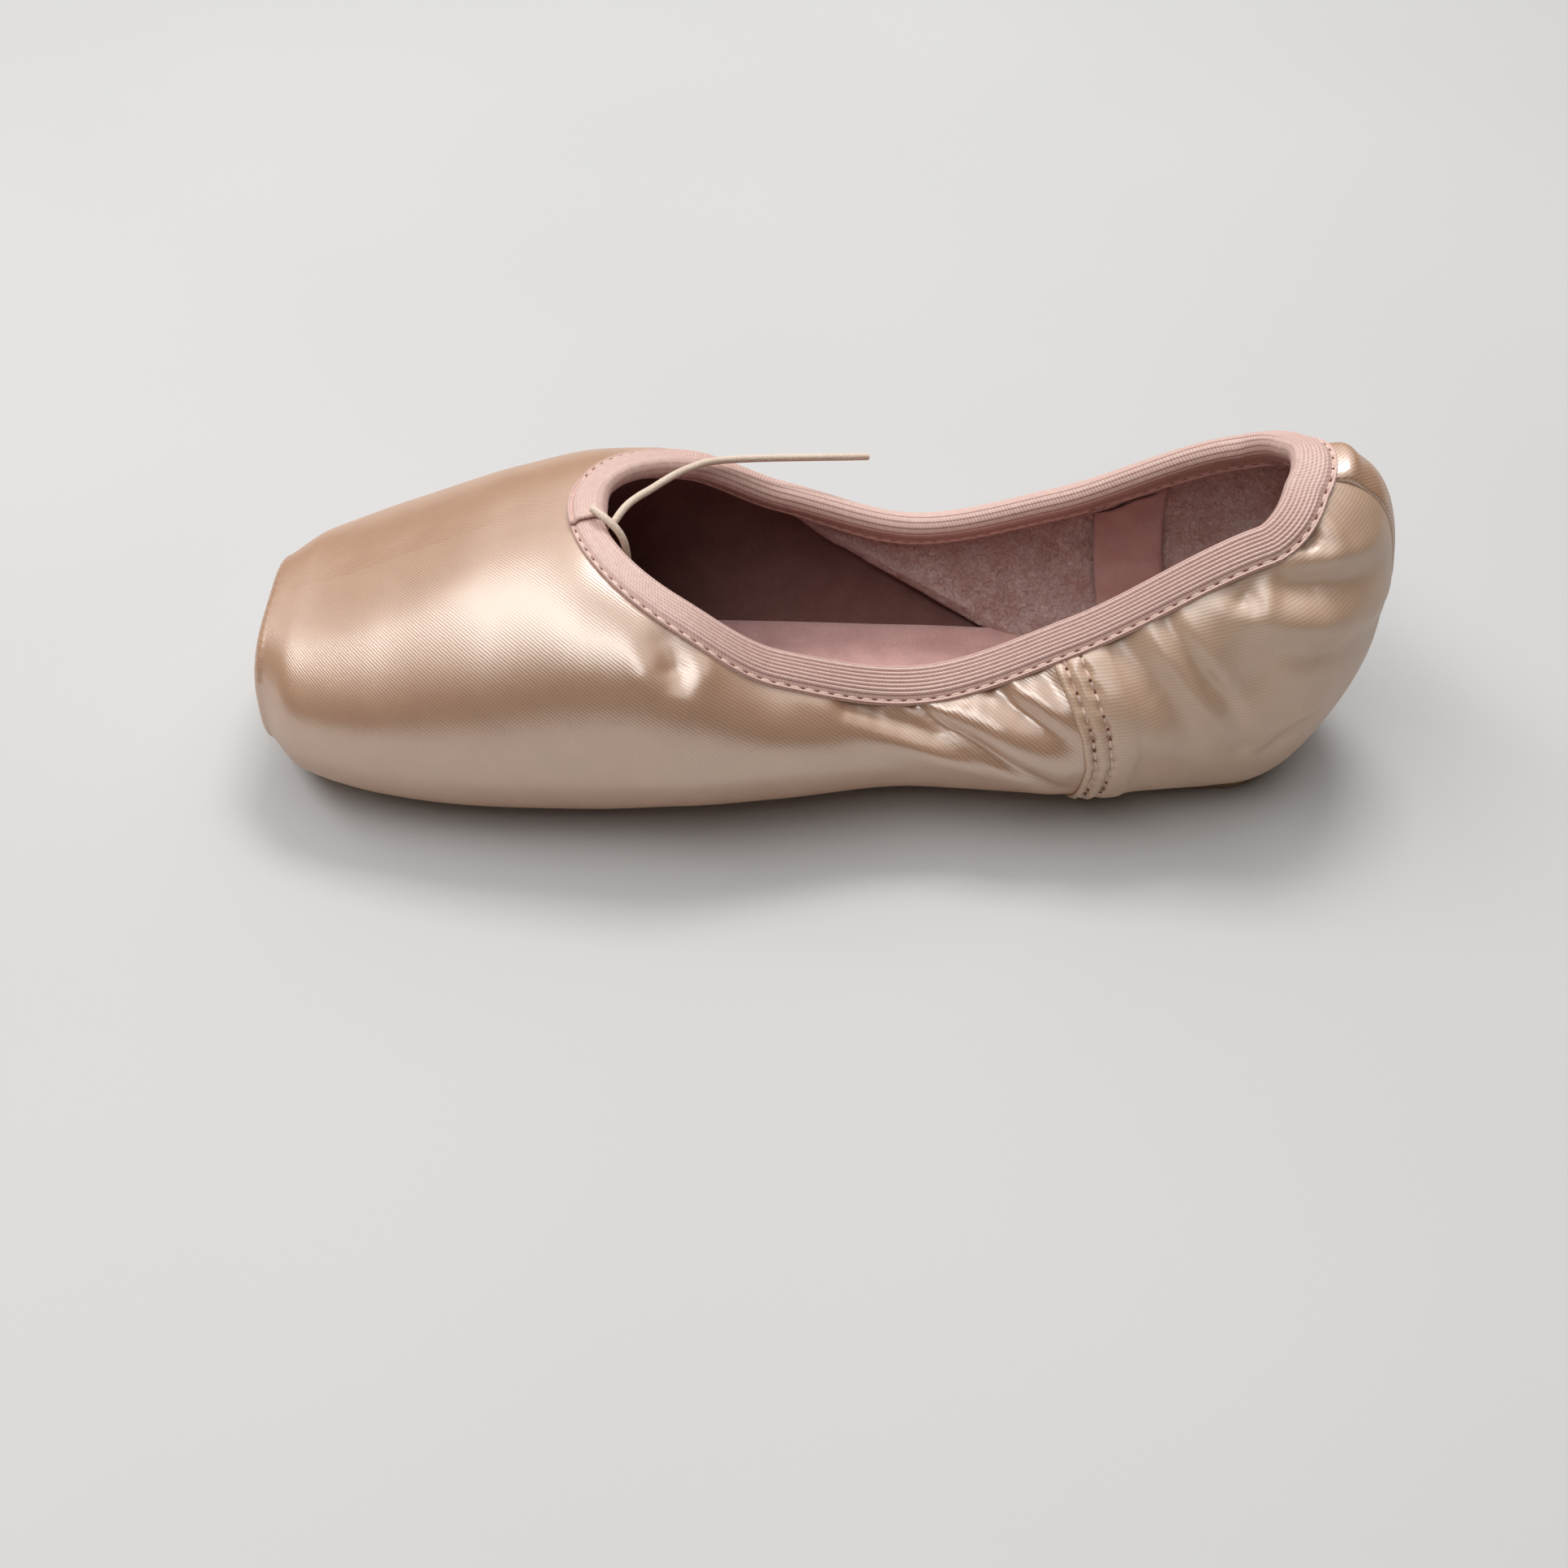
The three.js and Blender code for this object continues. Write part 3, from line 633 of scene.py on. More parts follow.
def brushed_fleece():
    """Brushed polyester fleece: matt pile in small tufts, pale at the tips and darkened between them with
    painted shade.
    """
    pile = new_material("brushed_fleece")
    place = add(pile, "TexCoord").outputs["Object"]
    tufts = add(pile, "TexNoise", {0: place, "Scale": 1 / (1.3 * MM), "Detail": 6.0, "Roughness": 0.75,
                                   "Distortion": 1.5})
    clumps = add(pile, "TexNoise", {0: place, "Scale": 1 / (7 * MM), "Detail": 2.0})
    # Pale where the tufts stand high and dark where they sink: painted shade between the tufts.
    tuft_tips_and_shade = add(pile, "ValToRGB", {0: tufts}, [(0.36, "#D39F96"), (0.6, "#FFEAE4")])
    shade = add(pile, "ValToRGB", {0: clumps}, [(0.35, "#EDDFDB"), (0.65, "#FFFFFF")])
    colour = add(pile, "Mix", {0: 1.0, 6: tuft_tips_and_shade, 7: shade}, data_type="RGBA", blend_type="MULTIPLY")
    bump = add(pile, "Bump", {"Height": tufts, "Strength": 1.0, "Distance": 1.2 * MM})
    shader = add(pile, "BsdfPrincipled", {
        "Base Color": colour.outputs[2], "Normal": bump, "Roughness": 1.0, "Specular IOR Level": 0.15,
        "Sheen Weight": 0.5, "Sheen Tint": linear("#F2D6D0")})
    add(pile, "OutputMaterial", {0: shader})
    return pile


def felt(name, dark, light):
    """Brushed felt or cotton: matt and mottled, with short fibres lying every way."""
    nap = new_material(name)
    place = add(nap, "TexCoord").outputs["Object"]
    fibres = add(nap, "TexNoise", {0: place, "Scale": 1 / (0.7 * MM), "Detail": 5.0, "Roughness": 0.7})
    clumps = add(nap, "TexNoise", {0: place, "Scale": 1 / (5 * MM), "Detail": 3.0})
    both = add(nap, "Math", {0: fibres, 1: clumps}, operation="ADD")
    colour = add(nap, "ValToRGB", {0: add(nap, "Math", {0: both, 1: 0.5}, operation="MULTIPLY")},
                 [(0.32, dark), (0.68, light)])
    bump = add(nap, "Bump", {"Height": fibres, "Strength": 0.6, "Distance": 0.5 * MM})
    shader = add(nap, "BsdfPrincipled", {
        "Base Color": colour, "Normal": bump, "Roughness": 0.95, "Specular IOR Level": 0.2,
        "Sheen Weight": 0.4})
    add(nap, "OutputMaterial", {0: shader})
    return nap


def sole_leather():
    """Vegetable-tanned leather, buffed: a fine grain with pale scuffs in random patches."""
    hide = new_material("sole_leather")
    place = add(hide, "TexCoord").outputs["Object"]
    grain = add(hide, "TexVoronoi", {0: place, "Scale": 1 / (0.9 * MM)})
    wear = add(hide, "TexNoise", {0: place, "Scale": 1 / (14 * MM), "Detail": 6.0})
    colour = add(hide, "ValToRGB", {0: wear}, [(0.35, "#A5805C"), (0.7, "#C4A17C")])
    bump = add(hide, "Bump", {"Height": grain, "Strength": 0.3, "Distance": 0.2 * MM})
    shader = add(hide, "BsdfPrincipled", {"Base Color": colour, "Normal": bump, "Roughness": 0.65})
    add(hide, "OutputMaterial", {0: shader})
    return hide


def braided_cord():
    """Braided elastic cord: matt cream cotton over rubber, with a fine slanting braid."""
    cord = new_material("braided_cord")
    place = add(cord, "TexCoord").outputs["Object"]
    braid = add(cord, "TexVoronoi", {0: place, "Scale": 1 / (0.5 * MM)})
    colour = add(cord, "ValToRGB", {0: braid}, [(0.0, "#D6BBA2"), (0.8, "#EBD8C6")])
    bump = add(cord, "Bump", {"Height": braid, "Strength": 0.35, "Distance": 0.1 * MM})
    shader = add(cord, "BsdfPrincipled", {"Base Color": colour, "Normal": bump, "Roughness": 0.6})
    add(cord, "OutputMaterial", {0: shader})
    return cord


def floor_paper():
    """Matt seamless paper: pale grey with no gloss, fading into the pale room far from the shoe."""
    paper = new_material("floor_paper")
    place = add(paper, "TexCoord").outputs["Object"]
    tone = add(paper, "TexNoise", {0: place, "Scale": 4.0, "Detail": 2.0})
    colour = add(paper, "ValToRGB", {0: tone}, [(0.2, "#C8C7C6"), (0.8, "#CECDCC")])
    away = add(paper, "VectorMath", {0: place}, operation="LENGTH")
    shown = add(paper, "MapRange", {0: away.outputs["Value"], 1: FLOOR_FADE[0], 2: FLOOR_FADE[1], 3: 1, 4: 0},
                interpolation_type="SMOOTHSTEP")
    shader = add(paper, "BsdfPrincipled", {
        "Base Color": colour, "Alpha": shown, "Roughness": 0.9, "Specular IOR Level": 0.1})
    add(paper, "OutputMaterial", {0: shader})
    return paper


# Pieces


def seam_at(parts):
    """Stations of the side seam at parts of the way up."""
    return np.interp(parts, SEAM[:, 0], SEAM[:, 1])[None, :]


def front_stations(parts):
    """Stations of the front's grid: rows across the shoe, the last ones bending along the side seam."""
    box_end, box_step, vamp_step = -52, 1.25, 0.7
    throat = THROAT_X - SATIN_TUCK
    opened = throat * np.cos(np.linspace(0, np.pi / 2, 78))
    box = np.arange(TOE_X, box_end, box_step)
    straight = np.concatenate([box, np.arange(box_end, throat, vamp_step), opened[:-1]])
    quarter = np.linspace(0, 1, 84)[:, None] * (seam_at(parts) + SEAM_UNDERLAP)
    return np.concatenate([straight[:, None] + 0 * parts[None, :], quarter])


def pleats(points):
    """Satin pleats gathered under the toe, fanning out from the sole's tip."""
    x, y, z = np.moveaxis(points, -1, 0)
    turn = np.arctan2(y, PLEAT_CENTRE_X - x)
    under = np.clip((9 - z) / 6, 0, 1) * np.clip((-72 - x) / 14, 0, 1)
    return PLEAT_DEPTH * under * np.abs(np.sin(PLEAT_COUNT * turn)) ** 0.7


def toe_ripples(points, arcs):
    """Fine ripples in the satin where it is drawn over the platform's edge."""
    x = points[..., 0]
    near_edge = np.exp(-(x - TOE_X) / 7)
    phase = arcs * math.tau / RIPPLE_PITCH + 1.7 * np.sin(arcs / 2.9) + x / 6
    return RIPPLE_HEIGHT * near_edge * np.sin(phase)


def half_front(parts, side):
    """One half of the front, from the platform's rim to under the side seam, with its creases."""
    stations = front_stations(parts)
    points, normals, arcs = smooth_half(parts, SATIN_TUCK, stations, side)
    raised = fold_heights(points, FRONT_FOLDS, side) + slack(points, *FRONT_SLACK)
    raised = under_binding(raised + puckers(arcs, stations, *FRONT_PUCKERS), arcs) - pleats(points)
    raised += toe_ripples(points, arcs)
    return moved_out(points, normals, raised), np.stack([stations, -side * arcs], -1)


def with_platform(points, uvs):
    """Adds the platform: the first row rounds over an edge and closes on the middle of a flat face."""
    rim = points[0]
    middle = np.array([TOE_X, 0, (rim[:, 2].min() + rim[:, 2].max()) / 2])
    inward = middle - rim
    inward[:, 0] = 0
    inward *= PLATFORM_ROUND / np.linalg.norm(inward, axis=1, keepdims=True)
    rows = [middle + (rim + inward - middle) * spread for spread in PLATFORM_RINGS]
    for row in rows:
        row[:, 0] = TOE_X
    for turn in np.linspace(0, np.pi / 2, 5)[:-1]:
        row = rim + inward * (1 - np.sin(turn))
        row[:, 0] = TOE_X + PLATFORM_ROUND / 2 * (1 - np.cos(turn))
        rows.append(row)
    eased = points.copy()
    eased[..., 0] += PLATFORM_ROUND / 2 * np.clip(1 - (points[..., 0] - TOE_X) / PLATFORM_EASE, 0, 1)
    new_uvs = np.repeat(uvs[:1], len(rows), 0)
    new_uvs[..., 0] -= np.linspace(20, 0.5, len(rows))[:, None]
    return np.concatenate([rows, eased]), np.concatenate([new_uvs, uvs])


def front(material):
    """The woven front: platform, box, vamp and wings in one cloth, up to the side seams."""
    parts = np.linspace(0, 1, 96)
    sheet = sheet_mesh(*with_platform(*both_sides(lambda side: half_front(parts, side), 1)))
    drop_faces(sheet, lambda p: over_opening(p, SATIN_TUCK))
    weld(sheet)
    face_outwards(sheet, (-60, 0, 22))
    return finished("front_satin", sheet, material, "upper", SATIN_THICK)


def heel_stations(parts):
    """Stations of the heel panel's grid, close together over the seam's band."""
    band = np.arange(0, 12, SEAM_STEP)[:, None] + seam_at(parts)
    first = band[-1:] + SEAM_STEP
    return np.concatenate([band, first + np.linspace(0, 1, 104)[:, None] * (BACK - first)])


def seam_band(stations, parts, points):
    """Height of the doubled, twice-stitched edge along the seam, dimpled at each stitch."""
    behind = stations - seam_at(parts)
    height = np.interp(behind, SEAM_BAND[:, 0], SEAM_BAND[:, 1])
    dimple = 0.5 + 0.5 * np.cos(math.tau * points[..., 2] / SEAM_PITCH)
    row = sum(np.exp(-((behind - at) / 0.9) ** 2) for at in SEAM_ROWS)
    return height - SEAM_DIMPLE * row * dimple


def half_heel(parts, side):
    """One half of the heel panel, from the side seam to the middle of the back, with its creases."""
    stations = heel_stations(parts)
    points, normals, arcs = smooth_half(parts, SATIN_TUCK, stations, side)
    raised = fold_heights(points, HEEL_FOLDS, side) + slack(points, *HEEL_SLACK)
    raised += puckers(arcs, stations, *HEEL_PUCKERS) + seam_band(stations, parts, points)
    raised = under_binding(raised, arcs)
    return moved_out(points, normals, raised), np.stack([side * (BACK - stations), arcs], -1)


def heel(material):
    """The stretch heel panel, from seam to seam round the back."""
    parts = np.linspace(0, 1, 92)
    sheet = sheet_mesh(*both_sides(lambda side: half_heel(parts, side), 0))
    face_outwards(sheet, (80, 0, 35))
    return finished("heel_satin", sheet, material, "upper", SATIN_THICK)


# The linings: the fleece's front edge, as part of the way up and station, and how the fleece lies

FLEECE_EDGE = np.array([
    (0, 52), (0.13, 44), (0.21, 35.5), (0.34, 26), (0.48, 17), (0.58, 9.5), (0.66, 1), (0.8, -7), (1, -14),
])
FLEECE_TOP, FLEECE_FOOT = 0.82, 0.1
FLEECE_THICK = 0.6
FLEECE_UNDERLAP = 5
FLEECE_FOLD_SCALE = 1.6
INNER_LEAN = 2.6
FLEECE_HANG = np.array([(0, 0.1), (1.2, 0.55), (3, 0.85), (40, 0.85), (75, 0.5), (110, 0.3), (150, 0.2)])


def fleece_edge(parts):
    """Stations of the fleece's front edge at parts of the way up."""
    return np.interp(parts, FLEECE_EDGE[:, 0], FLEECE_EDGE[:, 1])[None, :]


def lining_half(parts, stations, side):
    """One half of the inside face of the wall, sunk with the cloth's troughs: points, normals and UVs."""
    points, normals, arcs = smooth_half(parts, LINING_TUCK, stations, side)
    wider = [
        (name, line, 1.25 * width, depths, power)
        for name, line, width, depths, power in FRONT_FOLDS + HEEL_FOLDS
    ]
    sunk = np.minimum(fold_heights(points, wider, side), 0)
    points = moved_out(points, normals, sunk + LINING_THICK - WALL)
    points[..., 0] = np.maximum(points[..., 0], TOE_X + TOE_WALL - LINING_THICK)
    return points, normals, np.stack([stations, side * arcs], -1)


def toe_lining(material):
    """The smooth lining of the box, vamp and wings, running back under the fleece."""
    parts = np.linspace(0, 1, 48)
    wing_x = -20
    box = np.concatenate([[TOE_X, TOE_X + 0.3], np.arange(TOE_X + 3, wing_x, 2.0)])
    wing = wing_x + np.linspace(0, 1, 40)[1:, None] * (fleece_edge(parts) + FLEECE_UNDERLAP - wing_x)
    stations = np.concatenate([box[:, None] + 0 * parts[None, :], wing])
    points, uvs = both_sides(lambda side: lining_half(parts, stations, side)[::2], 1)
    points[0] = (TOE_X + TOE_WALL - LINING_THICK, 0, 20)
    sheet = sheet_mesh(points, uvs)
    drop_faces(sheet, lambda p: over_opening(p, LINING_TUCK))
    weld(sheet)
    face_outwards(sheet, (-60, 0, 22))
    return finished("toe_lining", sheet, material, "upper", LINING_THICK)


def hung(points, parts, share):
    """Lets a lining hang straighter than the wall, from the binding to the insole, by a share of the way."""
    top = np.argmin(np.abs(parts - FLEECE_TOP))
    foot = np.argmin(np.abs(parts - FLEECE_FOOT))
    along = np.clip((parts - parts[foot]) / (parts[top] - parts[foot]), 0, 1)[None, :, None]
    straight = points[:, foot:foot + 1] * (1 - along) + points[:, top:top + 1] * along
    inside = ((parts > parts[foot]) & (parts < parts[top]))[None, :, None]
    return np.where(inside, points + (straight - points) * share[..., None], points)


def hung_clear(parts, stations, side, lift):
    """One half of a lining that leans in under the binding and hangs clear of the wall by a lift."""
    points, normals, uvs = lining_half(parts, stations, side)
    down = (uvs[:, -1:, 1] - uvs[..., 1]) * side + LINING_TUCK
    lean = INNER_LEAN * np.clip(down / BINDING_INNER_LEG, 0, 1) * np.clip((parts - FLEECE_FOOT) / 0.3, 0, 1)
    moved = points - normals * (LINING_THICK + lean + lift(points))[..., None]
    share = np.interp(stations - fleece_edge(parts), FLEECE_HANG[:, 0], FLEECE_HANG[:, 1])
    return points, normals, uvs, hung(moved, parts, share)


def fleece_half(parts, side):
    """One half of the fleece: tufts, upright folds, and a soft edge where it slants down to the insole."""
    edge = fleece_edge(parts)
    behind = np.concatenate([np.arange(0, 8, 0.7), 8 + np.linspace(0, 1, 110) ** 1.05 * 140])[:, None]
    stations = edge + (BACK - edge) * behind / behind.max()
    fade = (np.clip((1 - parts) / 0.16, 0, 1) * np.clip(parts / 0.12, 0, 1))[None, :]

    def tufts(points):
        fine = slack(points, 3.2, 0.5, 11) + slack(points, 1.6, 0.4, 23)
        return np.maximum(fine + slack(points, 11, 1.1, 5) * fade + 0.2, 0)

    points, normals, uvs, moved = hung_clear(parts, stations, side, tufts)
    folds = FLEECE_FOLD_SCALE * fold_heights(points, FLEECE_FOLDS, side) * fade
    moved -= normals * folds[..., None]
    moved[on_middle(points), 1] = 0
    return moved, uvs


def fleece_lining(material):
    """The brushed fleece inside the quarters and the heel."""
    parts = np.linspace(0, 1, 76)
    sheet = sheet_mesh(*both_sides(lambda side: fleece_half(parts, side), 0))
    face_outwards(sheet, (70, 0, 35))
    bmesh.ops.reverse_faces(sheet, faces=sheet.faces)
    return finished("fleece_lining", sheet, material, "upper", FLEECE_THICK)


# The collar binding

BINDING_THICK = 0.45
BINDING_OUTER_LEG = 7.5
BINDING_INNER_LEG = 7
OUTER_RIBS = 7
INNER_RIBS = 5
RIB_PITCH = 0.82
RIB_HEIGHT = 0.3
TAPE_THICK = 1.05
TAPE_CLEAR = 1.2
SELVAGE = 0.3
STITCH_SINK = 0.35
STITCH_DROP = 6.6
INNER_STITCH_DROP = BINDING_INNER_LEG - 1.1
FOLD_DROP = 0.4
FOLD_RISE = 1.9
OUTSIDE_STEPS, FOLD_STEPS, INSIDE_STEPS = 52, 12, 34
COLLAR_STEP = 1.0
THROAT_NARROW = 0.72
THROAT_NARROW_LONG = 55
STITCH_PITCH = 3
# Long, wide, thick and raised: a thread's length is a share of its pitch
THREAD = (0.74, 0.55, 0.5, 0.08)
# Dark beads of painted shade where the needle holes are.
HOLE_SHADE = (0.85, 0.65, 0.3, 0.02)
OVERLAP = 7
OVERLAP_LIFT = 0.9
BACK_TAPE_HALF = 6.5
BACK_TAPE_LONG = 75
BACK_TAPE_THICK = 0.4
INSIDE_TAPE = (60, 75)
INSIDE_TAPE_SLANT = 6
INSIDE_TAPE_THICK = 0.5


def cover_z(x, y):
    """Height of the smooth skin above the side, over a place in plan."""
    aft = np.maximum(x - HEEL_CENTRE_X, 0)
    out = np.hypot(aft, y)
    turned = HEEL_CENTRE_X + FAN * np.arctan2(aft, np.abs(y)) / (np.pi / 2)
    return top_z(sections_at(np.where(aft > 0, turned, x)), out)


def cover_normal(x, y, step=0.2):
    """Outward normal of that skin, from the heights a step away."""
    dx = (cover_z(x + step, y) - cover_z(x - step, y)) / (2 * step)
    dy = (cover_z(x, y + step) - cover_z(x, y - step)) / (2 * step)
    normal = np.stack([-dx, -dy, np.ones_like(dx)], -1)
    return normal / np.linalg.norm(normal, axis=-1, keepdims=True)


def collar_path(spacing):
    """Stations and sides round the collar, from the throat along the near side, round the back and home."""
    throat = THROAT_X + THROAT_LONG * (1 - np.cos(np.linspace(0, np.pi / 2, 200)))
    stations = np.concatenate([throat, np.linspace(throat[-1], BACK, 500)[1:]])
    half = collar_points(stations, FAR)
    arcs = np.concatenate([[0], np.cumsum(np.linalg.norm(np.diff(half, axis=0), axis=1))])
    count = int(arcs[-1] / spacing)
    lengths = np.linspace(0, arcs[-1], count + 1)
    even = np.interp(lengths, arcs, stations)
    sides = np.concatenate([np.full(count + 1, NEAR), np.full(count, FAR)])
    homeward = 2 * arcs[-1] - lengths[::-1][1:]
    return np.concatenate([even, even[::-1][1:]]), sides, np.concatenate([lengths, homeward])


def collar_points(stations, side):
    """Points of the collar's edge on one side."""
    half = opening_half(stations)
    return placed(stations, half, top_z(sections_at(stations), half), side)


def walk_down(points, headings, distances, narrowing, step=0.25, look=0.2):
    """Points and normals at distances down the skin, square to the collar, less where the tape narrows."""
    here = points.copy()
    found = {}
    walked = 0
    for distance in sorted(distances):
        while walked < distance - 1e-6:
            stride = min(step, distance - walked)
            ahead = here + headings * look
            slope = (cover_z(ahead[:, 0], ahead[:, 1]) - here[:, 2]) / look
            here = here + headings * (narrowing * stride / np.hypot(1, slope))[:, None]
            here[:, 2] = cover_z(here[:, 0], here[:, 1])
            walked += stride
        found[distance] = (here.copy(), cover_normal(here[:, 0], here[:, 1]))
    return found


def collar_frames(spacing):
    """Collar points, headings down the skin and lengths, all round."""
    stations, sides, lengths = collar_path(spacing)
    points = np.where((sides == NEAR)[:, None], collar_points(stations, NEAR), collar_points(stations, FAR))
    tangents = np.gradient(points, axis=0)
    tangents[0] = tangents[-1] = (0, -1, 0)
    headings = np.cross(tangents, cover_normal(points[:, 0], points[:, 1]))
    headings[:, 2] = 0
    headings[0] = headings[-1] = (-1, 0, 0)
    headings /= np.linalg.norm(headings, axis=1, keepdims=True)
    return points, headings, lengths


def rib_strength(lengths, whole):
    """How far the ribs stand up along the collar: least at the throat and the back, where it is flat."""
    from_throat = np.minimum(lengths, whole - lengths)
    from_back = np.abs(lengths - whole / 2)
    return np.clip((from_throat - 12) / 40, 0.25, 1) * np.clip(from_back / 16, 0.35, 1)


def tape_width(lengths, whole):
    """How wide the tape lies along the collar: drawn narrow round the throat."""
    from_throat = np.minimum(lengths, whole - lengths)
    eased = np.clip(from_throat / THROAT_NARROW_LONG, 0, 1)
    return THROAT_NARROW + (1 - THROAT_NARROW) * eased * eased * (3 - 2 * eased)


def rib(drop, count):
    """Height at a drop from the tape's fold, for so many ribs."""
    wave = 0.5 - 0.5 * math.cos(math.tau * drop / RIB_PITCH)
    return RIB_HEIGHT * wave if drop < count * RIB_PITCH else 0


def swell(drop, place, half):
    """A rounded swelling, 1 high, at a place across the tape."""
    return math.exp(-((drop - place) / half) ** 2)


def binding_profile():
    """The tape's section outside, over its fold and inside: drop down the skin, height, rib and turn."""
    profile = [(BINDING_OUTER_LEG + 0.1, -0.1, 0, 0)]
    for drop in np.linspace(BINDING_OUTER_LEG, FOLD_DROP, OUTSIDE_STEPS):
        selvage = SELVAGE * swell(drop, BINDING_OUTER_LEG - 0.4, 0.3)
        sunk = STITCH_SINK * swell(drop, STITCH_DROP, 0.45)
        thick = TAPE_THICK - 0.5 * np.clip((drop - 4.8) / 1.8, 0, 1)
        profile.append((drop, thick + selvage - sunk, rib(drop, OUTER_RIBS), 0))
    for turn in np.linspace(0.25, math.pi - 0.25, FOLD_STEPS):
        height = -WALL / 2 + (WALL / 2 + TAPE_CLEAR) * math.cos(turn)
        profile.append((FOLD_DROP - FOLD_RISE * math.sin(turn), height, 0, turn))
    for drop in np.linspace(0.5, BINDING_INNER_LEG, INSIDE_STEPS):
        sunk = STITCH_SINK * swell(drop, INNER_STITCH_DROP, 0.45)
        leaning = -WALL - TAPE_CLEAR - INNER_LEAN * drop / BINDING_INNER_LEG
        profile.append((drop, leaning + sunk, -rib(drop, INNER_RIBS), math.pi))
    return profile


def binding_grid(spacing):
    """Points of the tape's outer face round the collar: rows along it, columns across, with UVs by drop."""
    points, headings, lengths = collar_frames(spacing)
    profile = binding_profile()
    narrowing = tape_width(lengths, lengths.max())
    found = walk_down(points, headings, {round(max(drop, 0), 4) for drop, *_ in profile}, narrowing)
    strength = rib_strength(lengths, lengths.max())[:, None]
    grid, away, uvs = [], [], []
    across = 0
    for drop, height, ribbed, turn in profile:
        place, normal = found[round(max(drop, 0), 4)]
        grid.append(place + normal * (height + ribbed * strength) - headings * max(-drop, 0))
        away.append(normal * math.cos(turn) - headings * math.sin(turn))
        across = drop if turn == 0 else across - 0.35 if turn < math.pi else -BINDING_INNER_LEG - drop
        uvs.append(np.stack([lengths, np.full_like(lengths, across)], -1))
    return np.stack(grid, 1), np.stack(away, 1), np.stack(uvs, 1)


def overlapped(grid, away, uvs):
    """Carries the far end of the tape over the near end at the throat, one thickness higher."""
    rise = np.clip((np.arange(len(grid)) - len(grid) + OVERLAP + 2) / OVERLAP, 0, 1)
    lifted = grid + away * (OVERLAP_LIFT * rise)[:, None, None]
    lap = grid[1:OVERLAP] + away[1:OVERLAP] * OVERLAP_LIFT
    lap_uvs = uvs[1:OVERLAP] + np.array([uvs[-1, 0, 0], 0])
    return np.concatenate([lifted, lap]), np.concatenate([uvs, lap_uvs])


def mark_groove_shade(sheet, uvs):
    """Notes on each vertex how far the ribs stand up there, for the strength of the painted shade in the
    grooves.
    """
    lengths = uvs[:, :, 0]
    whole = lengths[-OVERLAP, 0]
    strength = rib_strength(np.clip(lengths, 0, whole), whole).ravel()
    layer = sheet.verts.layers.float.new("ribs")
    for vertex, value in zip(sheet.verts, strength):
        vertex[layer] = 0.85 * value


def binding(material):
    """The elastic tape folded over the collar's edge, ribbed along its length."""
    points, uvs = overlapped(*binding_grid(COLLAR_STEP))
    sheet = sheet_mesh(points, uvs)
    mark_groove_shade(sheet, uvs)
    bmesh.ops.recalc_face_normals(sheet, faces=sheet.faces)
    top = max(sheet.faces, key=lambda face: face.calc_center_median().z)
    if top.normal.z < 0:
        bmesh.ops.reverse_faces(sheet, faces=sheet.faces)
    return finished("elastic_binding", sheet, material, "collar_binding", BINDING_THICK)


# Stitches


def row_frames(line, pitch):
    """Middles and directions of stitches laid end to end along a line of points."""
    arcs = np.concatenate([[0], np.cumsum(np.linalg.norm(np.diff(line, axis=0), axis=1))])
    middles = np.arange(pitch / 2, arcs[-1], pitch)
    here = np.stack([np.interp(middles, arcs, line[:, k]) for k in range(3)], 1)
    ahead = np.stack([np.interp(middles + 0.3, arcs, line[:, k]) for k in range(3)], 1)
    return middles / arcs[-1], here, ahead - here


def bead_mesh():
    """One rounded bead, copied along every stitched row."""
    bead = bmesh.new()
    bmesh.ops.create_uvsphere(bead, u_segments=8, v_segments=5, radius=1)
    mesh = bpy.data.meshes.new("bead")
    bead.to_mesh(mesh)
    bead.free()
    return mesh


def add_beads(sheet, bead, line, normals, pitch, size, shift):
    """Beads along a row: long for a stitch of thread, short for the painted shade in a needle hole."""
    parts, middles, ways = row_frames(line, pitch)
    index = (parts * (len(line) - 1)).astype(int)
    for middle, way, normal in zip(middles, ways, normals[index]):
        along = Vector(way).normalized()
        across = Vector(normal).cross(along).normalized()
        up = along.cross(across)
        turned = Matrix((along, across, up)).transposed().to_4x4()
        place = Vector(middle) + along * shift * pitch + up * size[3]
        scaled = Matrix.Diagonal((size[0] / 2 * MM, size[1] / 2 * MM, size[2] / 2 * MM, 1))
        matrix = Matrix.Translation(place * MM) @ turned @ scaled
        bead.transform(matrix)
        sheet.from_mesh(bead)
        bead.transform(matrix.inverted())


def stitch_lines():
    """Every stitched row: points, outward normals and pitch."""
    grid, away, _ = binding_grid(COLLAR_STEP)
    drops = np.array([drop for drop, *_ in binding_profile()])
    inside = OUTSIDE_STEPS + 1 + FOLD_STEPS
    outer = np.abs(drops[:OUTSIDE_STEPS + 1] - STITCH_DROP).argmin()
    inner = inside + np.abs(drops[inside:] - INNER_STITCH_DROP).argmin()
    rows = [(grid[:, k], away[:, k], STITCH_PITCH) for k in (outer, inner)]
    seen = slice(12, -8)
    for side in (NEAR, FAR):
        points, _ = half_heel(np.linspace(0.03, 1, 92), side)
        normals = grid_normals(points, side)
        for at in SEAM_ROWS:
            k = round(at / SEAM_STEP)
            rows.append((points[k, seen], normals[k, seen], SEAM_PITCH))
    return rows


def stitches(thread, shadow):
    """Threads of every row in one piece, and dark beads of painted shade in the needle holes between them in
    another.
    """
    threads, hole_shades = bmesh.new(), bmesh.new()
    bead = bead_mesh()
    for line, normals, pitch in stitch_lines():
        add_beads(threads, bead, line, normals, pitch, (pitch * THREAD[0], *THREAD[1:]), 0)
        add_beads(hole_shades, bead, line, normals, pitch, HOLE_SHADE, 0.5)
    bpy.data.meshes.remove(bead)
    finished("sewing_threads", threads, thread)
    finished("needle_hole_shades", hole_shades, shadow)


# Tapes


